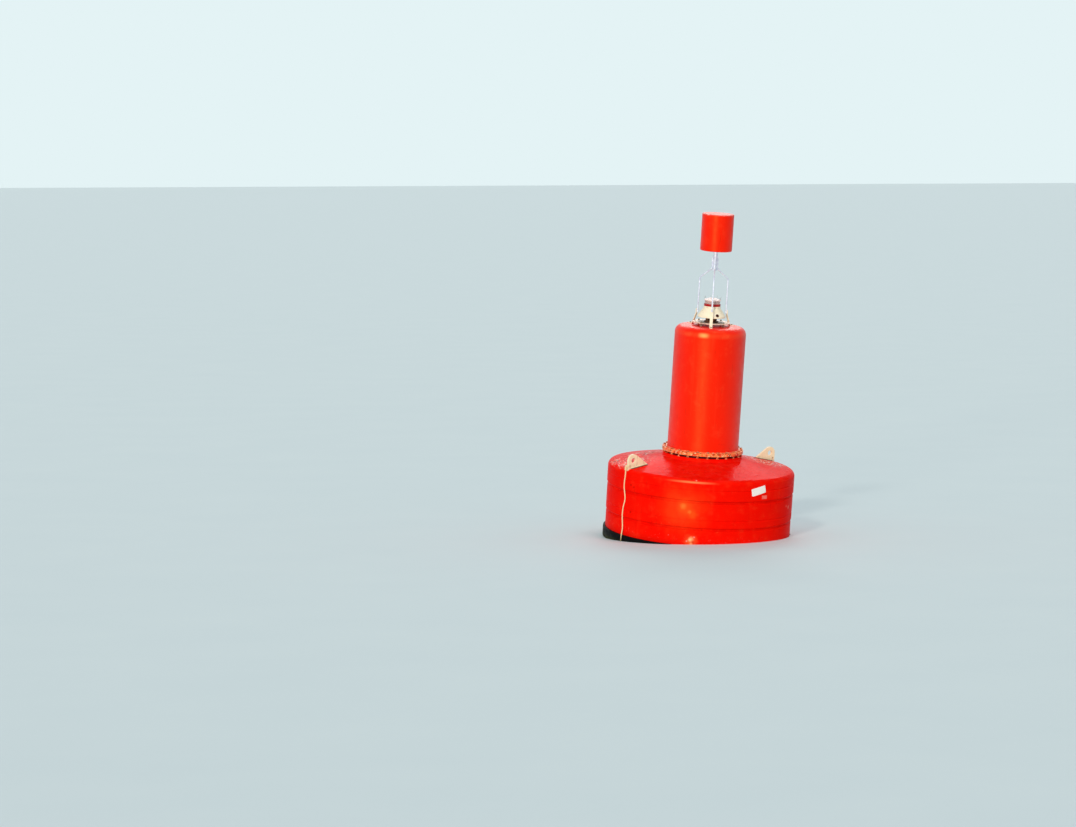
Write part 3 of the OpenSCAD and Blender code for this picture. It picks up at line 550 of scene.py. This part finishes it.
# Lug pads: rust-stained zinc, darkened as painted shade under the lugs' feet
STAINED_AND_SHADED = galvanised("stained_shaded_zinc", 0.6, 0.9, (1, 0.86, 0.74))
DULL = galvanised("dull_zinc", 0.66, 0.6, (1, 0.9, 0.78))
RUSTY = rusty_bolts()
SUNKEN = galvanised("sunken_zinc", 0.72, 0.55, (1, 0.95, 0.86), 0.85)
PLATE = galvanised("plate_zinc", 1.02, 0.2, (1.08, 0.94, 0.87), shaded_r=0.2)
NODE_MATERIALS = {
    "float_upper": float_red(), "tower": tower_red(), "topmark_can": can_red(), "lantern_cap": cap_white(),
    "lug_pad_left": STAINED_AND_SHADED, "lug_pad_right": STAINED_AND_SHADED, "flange_bolts": RUSTY, "plate_spacers": DULL,
    "lantern_plate": PLATE, "leg_bolts": DULL, "lantern_body": LANTERN_CREAM,
    "stand_leg_1": LANTERN_CREAM, "stand_leg_2": LANTERN_CREAM, "stand_leg_3": LANTERN_CREAM,
}
NODE_MATERIALS.update((name, SUNKEN) for name in (
    "tail_plate", "tail_gussets", "tail_tube", "ballast_top_plate", "ballast_bottom_plate", "ballast_rods",
    "tail_foot", "mooring_lug_left", "mooring_lug_right", "tie_rod_nuts", "shackle_pin_left",
    "shackle_pin_right"))

for row in frame["record"]["subparts"]:
    node = frame["nodes"][row["node"]]
    node.data.materials.clear()
    node.data.materials.append(NODE_MATERIALS.get(row["node"]) or MATERIALS[row["material_slot"]])


# ---------- Mesh helpers ----------

def piece(name, bm, material, body="buoy", smooth_deg=35):
    """Object made of a bmesh, which rides on a CAD body."""
    bmesh.ops.recalc_face_normals(bm, faces=bm.faces)
    mesh = bpy.data.meshes.new(name)
    bm.to_mesh(mesh)
    bm.free()
    obj = bpy.data.objects.new(name, mesh)
    bpy.context.scene.collection.objects.link(obj)
    mesh.materials.append(material)
    mesh.shade_smooth()
    mesh.set_sharp_from_angle(angle=math.radians(smooth_deg))
    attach(obj, body)
    return obj


def smooth_path(points, step):
    """Points about a step apart on the smooth curve through the given ones."""
    points = [Vector(p) for p in points]
    ends = [2 * points[0] - points[1]] + points + [2 * points[-1] - points[-2]]
    path = []
    for a, b, c, d in zip(ends, ends[1:], ends[2:], ends[3:]):
        count = max(1, round((c - b).length / step))
        for i in range(count):
            t = i / count
            path.append(0.5 * (2 * b + (c - a) * t + (2 * a - 5 * b + 4 * c - d) * t * t
                               + (3 * b - a - 3 * c + d) * t ** 3))
    return path + [points[-1]]


def frames_along(path, closed=False):
    """Matrices at each point of a path, Z along it, turning as little as they can."""
    last = len(path) - 1
    headings = []
    for i in range(len(path)):
        before = path[i - 1] if i or closed else path[0]
        after = path[(i + 1) % len(path)] if i < last or closed else path[last]
        headings.append((after - before).normalized())
    side = headings[0].orthogonal().normalized()
    frames = []
    for point, heading in zip(path, headings):
        side = (side - heading * side.dot(heading)).normalized()
        frames.append(Matrix.Translation(point)
                      @ Matrix((side, heading.cross(side), heading)).transposed().to_4x4())
    return frames


def sweep(bm, frames, outline, scale=None, closed=False):
    """Skin of an outline, a list of (x, y), carried along frames and scaled by a list of numbers."""
    rings = []
    for i, matrix in enumerate(frames):
        k = scale[i] if scale else 1
        rings.append([bm.verts.new(matrix @ Vector((x * k, y * k, 0))) for x, y in outline])
    pairs = list(zip(rings, rings[1:])) + ([(rings[-1], rings[0])] if closed else [])
    count = len(outline)
    for a, b in pairs:
        for k in range(count):
            bm.faces.new((a[k], a[(k + 1) % count], b[(k + 1) % count], b[k]))
    if not closed:
        bm.faces.new(rings[0][::-1])
        bm.faces.new(rings[-1])


def circle(radius, sides):
    return [(radius * math.cos(2 * math.pi * k / sides), radius * math.sin(2 * math.pi * k / sides))
            for k in range(sides)]


def tube(bm, path, radius, sides, scale=None, closed=False):
    sweep(bm, frames_along(path, closed), circle(radius, sides), scale, closed)


def lathe(bm, rows, place, steps):
    """Solid of revolution about Z, from rows of radius and height that begin and end on the axis."""
    rings = []
    for radius, height in rows:
        if radius < 1e-6:
            rings.append([bm.verts.new(place @ Vector((0, 0, height)))])
        else:
            rings.append([bm.verts.new(place @ polar(radius, 360 * k / steps, height))
                          for k in range(steps)])
    for a, b in zip(rings, rings[1:]):
        for k in range(steps):
            n = (k + 1) % steps
            if len(a) == 1:
                bm.faces.new((a[0], b[n], b[k]))
            elif len(b) == 1:
                bm.faces.new((a[k], a[n], b[0]))
            else:
                bm.faces.new((a[k], a[n], b[n], b[k]))


def cage_side(i):
    """Turn to one of the three sides of the lantern's cage."""
    return Matrix.Rotation(math.radians(CAGE_TURN + 120 * i), 4, "Z")


def laid_rope(bm, path, diameter, lay=4.2, closed=False):
    """Three strands wound round a path in a right-hand lay, lay diameters of the rope to a turn."""
    strands = 3
    strand_r = diameter * 0.27
    offset = diameter / 2 - strand_r
    frames = frames_along(path, closed)
    along, gone = [0.0], 0.0
    for a, b in zip(path, path[1:]):
        gone += (b - a).length
        along.append(gone)
    rate = 2 * math.pi / (lay * diameter)
    if closed:
        gone += (path[0] - path[-1]).length
        # The frames slip round the path by this angle, which the strands take up so that they meet
        first, last = frames[0].to_3x3(), frames[-1].to_3x3()
        carried = last.col[2].rotation_difference(first.col[2]) @ last.col[0]
        slip = math.atan2(carried.dot(first.col[1]), carried.dot(first.col[0]))
        rate = (2 * math.pi * round(gone * rate / (2 * math.pi)) - slip) / gone
    for strand in range(strands):
        line = []
        for matrix, distance in zip(frames, along):
            angle = 2 * math.pi * strand / strands + distance * rate
            line.append(matrix @ Vector((offset * math.cos(angle), offset * math.sin(angle), 0)))
        tube(bm, line, strand_r, 8, closed=closed)


# ---------- Rope ----------

def rope_route():
    """Rope's middle line, from the hitch down the float's side."""
    return [Vector((-FLOAT_R - out / 1000, sway / 1000, TIE_Z - drop / 1000))
            for out, sway, drop in ROPE_POINTS_MM]


def make_hitch():
    """Round turn through the lug's tie hole, with the tail wrapped round the standing part."""
    bm = bmesh.new()
    ring = [polar(HITCH_R, 360 * k / 72, 0) + Vector((-HITCH_X, 0, TIE_Z)) for k in range(72)]
    laid_rope(bm, ring, ROPE_D, lay=2 * math.pi * HITCH_R / ROPE_D / 3, closed=True)
    wraps, pitch, wrap_d = 3, 0.013, 0.012
    centre = Vector((-HITCH_X - HITCH_R, 0, TIE_Z - 0.016))
    coil = [centre + polar(0.5 * (ROPE_D + wrap_d) - 0.001, 360 * t / 24, -pitch * t / 24)
            for t in range(24 * wraps + 1)]
    laid_rope(bm, coil, wrap_d, lay=3.6)
    hitch = piece("rope_hitch", bm, MATERIALS["rope"], smooth_deg=60)
    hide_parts("lanyard_hitch")
    return hitch


def make_end_knot(end):
    """Overhand stopper knot, pulled tight under the rope's end, with a short frayed tail."""
    bm = bmesh.new()
    size, centre = 0.0052, end - Vector((0, 0, 0.014))
    path = []
    for k in range(96):
        t = 2 * math.pi * k / 96
        path.append(centre + size * Vector((math.sin(t) + 2 * math.sin(2 * t), 1.6 * math.sin(3 * t),
                                            math.cos(t) - 2 * math.cos(2 * t))))
    laid_rope(bm, path, 0.013, lay=4.05, closed=True)
    rng = random.Random(5)
    for k in range(14):
        start = centre + polar(0.004, 360 * k / 14, -0.012)
        tip = start + polar(rng.uniform(0.002, 0.012), rng.uniform(0, 360), -rng.uniform(0.018, 0.03))
        middle = (start + tip) / 2 + polar(0.002, rng.uniform(0, 360), 0)
        tube(bm, smooth_path([start, middle, tip], 0.004), 0.0016, 6)
    knot = piece("rope_knot", bm, MATERIALS["rope"], smooth_deg=60)
    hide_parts("lanyard_knot")
    return knot


def make_rope():
    route = smooth_path(rope_route(), 0.005)
    bm = bmesh.new()
    laid_rope(bm, route, ROPE_D)
    line = piece("rope_line", bm, MATERIALS["rope"], smooth_deg=60)
    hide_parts("lanyard")
    make_hitch()
    make_end_knot(route[-1])


make_rope()


# ---------- Cage ----------

def rounded_corner(a, p, b, radius):
    """Points on the arc of a radius that rounds the corner p of the path from a to b."""
    steps = 10
    u, w = (a - p).normalized(), (b - p).normalized()
    half = math.acos(u.dot(w)) / 2
    centre = p + (u + w).normalized() * radius / math.sin(half)
    start = p + u * radius / math.tan(half) - centre
    stop = p + w * radius / math.tan(half) - centre
    turn = start.rotation_difference(stop)
    return [centre + Quaternion().slerp(turn, i / steps) @ start for i in range(steps + 1)]


def make_cage_bars():
    """Bars rounded at their bends, from the legs up to the topmark's post."""
    bend = 0.050
    beside_post = POST_R + BAR_R + 0.0003
    # Distance from the axis, and height above the tower's top
    rows = [(CAGE_R, 0.152), (CAGE_R, 0.624), (beside_post, 0.762), (beside_post, 0.912)]
    for i in range(3):
        low, shoulder, throat, high = [Vector((x, 0, TOWER_TOP + z)) for x, z in rows]
        path = ([low] + rounded_corner(low, shoulder, throat, bend)
                + rounded_corner(shoulder, throat, high, bend) + [high])
        bm = bmesh.new()
        tube(bm, [cage_side(i) @ p for p in path], BAR_R, 20)
        bar = piece(f"cage_rod_{i + 1}", bm, MATERIALS["galvanised"])
        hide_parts(f"cage_bar_{i + 1}")


make_cage_bars()


# ---------- Welds ----------

def weld(bm, points, radius, rng, closed=False):
    """Rippled, uneven bead along a path."""
    line = smooth_path(points, 0.004)
    if closed:
        line = line[:-1]
    lumps = [1 + 0.16 * math.sin(i * 2.1) + rng.uniform(-0.09, 0.09) for i in range(len(line))]
    if not closed:
        lumps[0] = lumps[-1] = 0.45
    tube(bm, line, radius, 8, lumps, closed)


def ring_points(radius, z, steps=72):
    """Points on a level ring round the axis, the last on the first."""
    return [polar(radius, 360 * k / steps, z) for k in range(steps + 1)]


def pad_top(x):
    """Height of a lug pad's face at a distance from the axis."""
    return CONE_Z + PAD_T / math.cos(CONE_SLOPE) + (FLOAT_R - x) * math.tan(CONE_SLOPE)


def make_lug_welds(side):
    """Bead round the foot of a lifting lug, where it stands on its pad."""
    rng = random.Random(20 + side)
    bm = bmesh.new()
    toe_r, end_r, half = 0.938, 1.186, LUG_T / 2
    flank = [(end_r, half), (1.1, half), (1.0, half), (toe_r + 0.006, half + 0.001),
             (toe_r - 0.003, half - 0.004)]
    around = flank + [(toe_r - 0.004, 0)] + [(x, -y) for x, y in reversed(flank)]
    weld(bm, [Vector((side * x, side * y, pad_top(x) + 0.001)) for x, y in around], 0.0065, rng)
    piece(f"lug_weld_{'left' if side < 0 else 'right'}", bm, MATERIALS["cream_paint"])


def make_cage_welds():
    """Beads along the bars, at the legs and at the topmark's post, and round the post under the can."""
    rng = random.Random(31)
    bm = bmesh.new()
    for i in range(3):
        turn = cage_side(i)
        for y in (-1, 1):
            rise = [Vector((CAGE_R + BAR_R - 0.0015, y * 0.0066, TOWER_TOP + z))
                    for z in (0.156, 0.18, 0.203)]
            weld(bm, [turn @ p for p in rise], 0.0042, rng)
            for low, high in ((0.786, 0.818), (0.872, 0.908)):
                rise = [Vector((POST_R + 0.0022, y * 0.0072, TOWER_TOP + z))
                        for z in (low, (low + high) / 2, high)]
                weld(bm, [turn @ p for p in rise], 0.0042, rng)
    piece("cage_welds", bm, MATERIALS["galvanised"])
    bm = bmesh.new()
    weld(bm, ring_points(POST_R + 0.0006, CAN_Z - 0.009, 24), 0.0045, rng, closed=True)
    piece("post_weld", bm, DULL)


def make_tail_welds():
    """Beads round the tail's tube, along its gussets and foot, and beside the mooring lugs."""
    rng = random.Random(37)
    bm = bmesh.new()
    for start in range(4):
        sector = [polar(TAIL_R + 0.002, 45 + 90 * start + a, TAIL_Z - 0.002) for a in range(6, 85, 6)]
        weld(bm, sector, 0.008, rng)
        turn = Matrix.Rotation(math.radians(45 + 90 * start), 4, "Z")
        for y in (-0.0085, 0.0085):
            down = [Vector((TAIL_R + 0.001, y, TAIL_Z - z)) for z in (0.012, 0.09, 0.17, 0.256)]
            weld(bm, [turn @ p for p in down], 0.006, rng)
            out = [Vector((TAIL_R + x, y, TAIL_Z - 0.001)) for x in (0.012, 0.06, 0.146)]
            weld(bm, [turn @ p for p in out], 0.006, rng)
    weld(bm, ring_points(TAIL_R + 0.001, TAIL_END + 0.022), 0.006, rng, closed=True)
    for y in (-1, 1):
        across = [Vector((x, y * 0.0235, TAIL_END - 0.026)) for x in (-0.104, -0.05, 0, 0.05, 0.104)]
        weld(bm, across, 0.0065, rng)
    piece("tail_welds", bm, SUNKEN)
    bm = bmesh.new()
    for side in (-1, 1):
        for y in (-1, 1):
            along = [Vector((side * (MOORING_X + x), y * 0.0165, MOORING_PAD_Z))
                     for x in (-0.074, -0.03, 0.03, 0.074)]
            weld(bm, along, 0.0065, rng)
    piece("mooring_welds", bm, SUNKEN)


make_lug_welds(-1)
make_lug_welds(1)
make_cage_welds()
make_tail_welds()


# ---------- Bolts and small fittings ----------

def hex_head(bm, place, across, height, washer_r=0.0, stud_r=0.0, stud_h=0.0):
    """Hexagon head or nut on a washer, with its upper edges rounded off and a bolt's end in it."""
    low = 0.0
    if washer_r:
        low = across * 0.09
        lathe(bm, [(0, 0), (washer_r, 0), (washer_r, low * 0.8), (washer_r - low * 0.3, low), (0, low)],
              place, 28)
    corner = across / 2 / math.cos(math.radians(30))
    lathe(bm, [(0, low), (corner, low), (corner, low + height * 0.82), (corner * 0.88, low + height),
               (0, low + height)], place, 6)
    if stud_h:
        rows = [(0, low + height)]
        turns = round(stud_h / 0.002)
        for k in range(turns):
            rows += [(stud_r, low + height + stud_h * k / turns),
                     (stud_r * 0.92, low + height + stud_h * (k + 0.5) / turns)]
        rows += [(stud_r * 0.8, low + height + stud_h), (0, low + height + stud_h)]
        lathe(bm, rows, place, 20)


def facing(point, direction):
    """Matrix that stands at a point with its Z along a direction."""
    return Matrix.Translation(point) @ Vector(direction).to_track_quat("Z", "Y").to_matrix().to_4x4()


def make_lantern_fittings():
    # Nuts that hold the plate down, and screws through the pedestal's foot
    bm = bmesh.new()
    for k in range(4):
        place = Matrix.Translation(polar(0.21, CAGE_TURN + 22 + 90 * k, PLATE_TOP))
        hex_head(bm, place, 0.019, 0.010, 0.017, 0.006, 0.008)
    for k in range(4):
        place = Matrix.Translation(polar(0.084, 10 + 90 * k, PLATE_TOP + 0.010))
        hex_head(bm, place, 0.013, 0.007)
    piece("plate_bolts", bm, DULL)

    # Ribs moulded round the lens
    bm = bmesh.new()
    for k in range(5):
        ring = ring_points(LENS_R, LENS_Z + 0.006 + 0.0075 * k)[:-1]
        tube(bm, ring, 0.0024, 8, closed=True)
    piece("lens_ribs", bm, MATERIALS["lens"])

    # Bird spikes round the cap, thinner towards their tips
    bm = bmesh.new()
    for k in range(8):
        foot = polar(0.104, 20 + 45 * k, LENS_Z + 0.052)
        tip = polar(0.120, 20 + 45 * k, LENS_Z + 0.098)
        line = [foot.lerp(tip, t / 5) for t in range(6)]
        tube(bm, line, 0.0016, 8, [1, 1, 0.95, 0.8, 0.55, 0.2])
        lathe(bm, [(0, 0), (0.004, 0), (0.004, 0.003), (0.002, 0.006), (0, 0.006)],
              facing(foot - Vector((0, 0, 0.002)), tip - foot), 12)
    piece("bird_spikes", bm, DULL)

    # Screws round the body's head, and the cable socket low on its flare
    bm = bmesh.new()
    for k in range(6):
        out = polar(1, 15 + 60 * k, 0)
        spot = out * 0.1135 + Vector((0, 0, LENS_Z - 0.045))
        lathe(bm, [(0, 0), (0.0045, 0), (0.004, 0.0022), (0.0018, 0.0026), (0.0012, 0.0012), (0, 0.0012)],
              facing(spot, out), 16)
    piece("head_screws", bm, DULL)
    bm = bmesh.new()
    out = (polar(1, -102, 0) + Vector((0, 0, 0.7))).normalized()
    spot = polar(0.171, -102, LENS_Z - 0.144)
    lathe(bm, [(0, -0.006), (0.022, -0.006), (0.022, 0.006), (0.019, 0.009), (0.017, 0.009),
               (0.016, 0.004), (0.010, 0.004), (0.009, 0.012), (0.006, 0.014), (0, 0.014)],
          facing(spot, out), 28)
    piece("cable_socket", bm, MATERIALS["rubber"])


def make_tail_fittings():
    # Bolts under the tail's plate
    bm = bmesh.new()
    down = Matrix.Rotation(math.pi, 4, "X")
    for k in range(8):
        place = Matrix.Translation(polar(0.27, 22.5 + 45 * k, TAIL_Z)) @ down
        hex_head(bm, place, 0.036, 0.015, 0.028, 0.012, 0.012)
    piece("tail_plate_bolts", bm, SUNKEN)

    # Straps that hold the anodes' ends to the tube
    bm = bmesh.new()
    for side in (-1, 1):
        for end in (-1, 1):
            line = [Vector((0, side * (TAIL_R + y), ANODE_Z + end * z))
                    for y, z in ((0.024, 0.14), (0.016, 0.165), (0.004, 0.178), (0.0035, 0.215))]
            sweep(bm, frames_along(smooth_path(line, 0.006)), strap_outline(0.032, 0.006))
            place = facing((0, side * (TAIL_R + 0.006), ANODE_Z + end * 0.2), (0, side, 0))
            hex_head(bm, place, 0.018, 0.009, 0.014)
    piece("anode_straps", bm, SUNKEN)


def strap_outline(width, thickness):
    """Flat bar with rounded edges, wide across the first side of its frame."""
    half, edge = width / 2, thickness / 2
    arc = [(half - edge + edge * math.cos(a), edge * math.sin(a))
           for a in (math.radians(-90 + 30 * k) for k in range(7))]
    return arc + [(-x, y) for x, y in reversed(arc)]


def make_split_pins(side):
    """Split pin through the nut end of a shackle's pin, its legs bent apart."""
    name = "left" if side < 0 else "right"
    bm = bmesh.new()
    middle = Vector((side * MOORING_X, -side * PIN_END_Y, PIN_Z))
    reach, wire, eye_r = 0.047, 0.0032, 0.008
    eye = [middle + Vector((reach + eye_r - eye_r * math.cos(a), 0, eye_r * math.sin(a)))
           for a in (math.radians(30 * k) for k in range(1, 12))]
    for z in (-1, 1):
        leg = [middle + Vector((x, 0, z * rise)) for x, rise in (
            (reach, 0.0028), (0, 0.0028), (-reach + 0.006, 0.0028), (-reach, 0.008),
            (-reach + 0.003, 0.022))]
        tube(bm, smooth_path(leg, 0.004), wire, 10)
    tube(bm, smooth_path(eye, 0.003), wire, 10)
    piece(f"split_pin_{name}", bm, SUNKEN, body=f"{name}_shackle")


make_lantern_fittings()
make_tail_fittings()
make_split_pins(-1)
make_split_pins(1)


# ---------- Label plate ----------

def make_label():
    """Blank plate with rounded corners, bent round the float's side over its crease, on four rivets."""
    width, height, corner, turn = 0.228, 0.100, 0.012, math.radians(12)
    middle_degrees, middle_z, rivet_inset = -90, 0.827, 0.012
    inner, outer = FLOAT_R + 0.0003, FLOAT_R + 0.0020

    def on_side(u, v, radius):
        along = u * math.cos(turn) - v * math.sin(turn)
        return polar(radius, middle_degrees + math.degrees(along / FLOAT_R),
                     middle_z + u * math.sin(turn) + v * math.cos(turn))

    bm = bmesh.new()
    columns = 24
    rows = [-height / 2 + corner * (1 - math.cos(math.radians(a))) for a in range(0, 91, 15)]
    rows += [0] + [-v for v in reversed(rows)]
    layers = []
    for radius, inset in ((inner, 0), (outer - 0.0005, 0), (outer, 0.0007)):
        grid = []
        for v in rows:
            off = max(0, abs(v) - (height / 2 - corner))
            half = width / 2 - corner + math.sqrt(max(0, corner ** 2 - off ** 2))
            k = 1 - inset / (height / 2)
            grid.append([bm.verts.new(on_side((2 * i / columns - 1) * (half - inset), v * k, radius))
                         for i in range(columns + 1)])
        layers.append(grid)
    for grid in (layers[0], layers[2]):
        for a, b in zip(grid, grid[1:]):
            for i in range(columns):
                bm.faces.new((a[i], a[i + 1], b[i + 1], b[i]))
    for low, high in zip(layers, layers[1:]):
        edge = [[g[0][i] for i in range(columns)] + [row[columns] for row in g[:-1]]
                + [g[-1][i] for i in range(columns, 0, -1)] + [row[0] for row in reversed(g[1:])]
                for g in (low, high)]
        count = len(edge[0])
        for i in range(count):
            j = (i + 1) % count
            bm.faces.new((edge[0][i], edge[0][j], edge[1][j], edge[1][i]))
    piece("blank_label", bm, label_white())

    bm = bmesh.new()
    for u in (-1, 1):
        for v in (-1, 1):
            foot = on_side(u * (width / 2 - rivet_inset), v * (height / 2 - rivet_inset), outer - 0.0005)
            lathe(bm, [(0, 0), (0.0052, 0), (0.0048, 0.0016), (0.003, 0.003), (0, 0.0034)],
                  facing(foot, (foot.x, foot.y, 0)), 16)
    piece("label_rivets", bm, MATERIALS["galvanised"])


make_label()


# ---------- Light, floor and backdrop ----------

PALE_SKY = colour(228, 243, 245)
PALE_FLOOR = colour(203, 219, 223)


def seen_directly(tree):
    """1 for rays from the camera, and for those by reflection or through glass."""
    path = tree.nodes.new("ShaderNodeLightPath")
    result = path.outputs["Is Camera Ray"]
    for name in ("Is Glossy Ray", "Is Transmission Ray"):
        node = tree.nodes.new("ShaderNodeMath")
        node.operation = "MAXIMUM"
        tree.links.new(result, node.inputs[0])
        tree.links.new(path.outputs[name], node.inputs[1])
        result = node.outputs[0]
    return result


def make_world():
    world = bpy.data.worlds.new("pale_room")
    bpy.context.scene.world = world
    world.use_nodes = True
    tree = world.node_tree
    tree.nodes.clear()
    light = tree.nodes.new("ShaderNodeBackground")
    light.inputs["Color"].default_value = (0.93, 0.97, 1, 1)
    light.inputs["Strength"].default_value = 0.4
    shown = tree.nodes.new("ShaderNodeBackground")
    shown.inputs["Color"].default_value = PALE_SKY
    mix = tree.nodes.new("ShaderNodeMixShader")
    output = tree.nodes.new("ShaderNodeOutputWorld")
    tree.links.new(seen_directly(tree), mix.inputs[0])
    tree.links.new(light.outputs[0], mix.inputs[1])
    tree.links.new(shown.outputs[0], mix.inputs[2])
    tree.links.new(mix.outputs[0], output.inputs["Surface"])


def make_floor():
    """Pale floor at the waterline, level in the photograph and so leaning against the buoy."""
    half = 9000
    mesh = bpy.data.meshes.new("floor")
    mesh.from_pydata([(-half, -half, 0), (half, -half, 0), (half, half, 0), (-half, half, 0)], [],
                     [(0, 1, 2, 3)])
    floor = bpy.data.objects.new("floor", mesh)
    floor.matrix_world = WATER
    bpy.context.scene.collection.objects.link(floor)
    s = Shader("floor")
    s.tone = s.mix(s.noise(0.6, 3), PALE_FLOOR, colour(208, 223, 226))
    s.roughness = 0.9
    mesh.materials.append(s.finished())


def make_lamp(name, azimuth, elevation, strength, angle, tone=(1, 1, 1)):
    """Sun lamp at an azimuth from the camera's side of the buoy, to the camera's left where negative."""
    lamp = bpy.data.lights.new(name, "SUN")
    lamp.energy = strength
    lamp.color = tone
    lamp.angle = math.radians(angle)
    obj = bpy.data.objects.new(name, lamp)
    bpy.context.scene.collection.objects.link(obj)
    a, e = math.radians(azimuth), math.radians(elevation)
    towards = Vector((math.sin(a) * math.cos(e), -math.cos(a) * math.cos(e), math.sin(e)))
    obj.matrix_world = WATER @ towards.to_track_quat("Z", "Y").to_matrix().to_4x4()


make_world()
make_floor()
make_lamp("key", -16, 27, 0.8, 5, (1, 0.93, 0.82))
make_lamp("low", -15, 0.6, 2.1, 4, (1, 0.9, 0.76))
make_lamp("top", 40, 72, 0.68, 30)
make_lamp("back", 180, 35, 0.8, 30)
bpy.context.scene.view_settings.view_transform = "Standard"
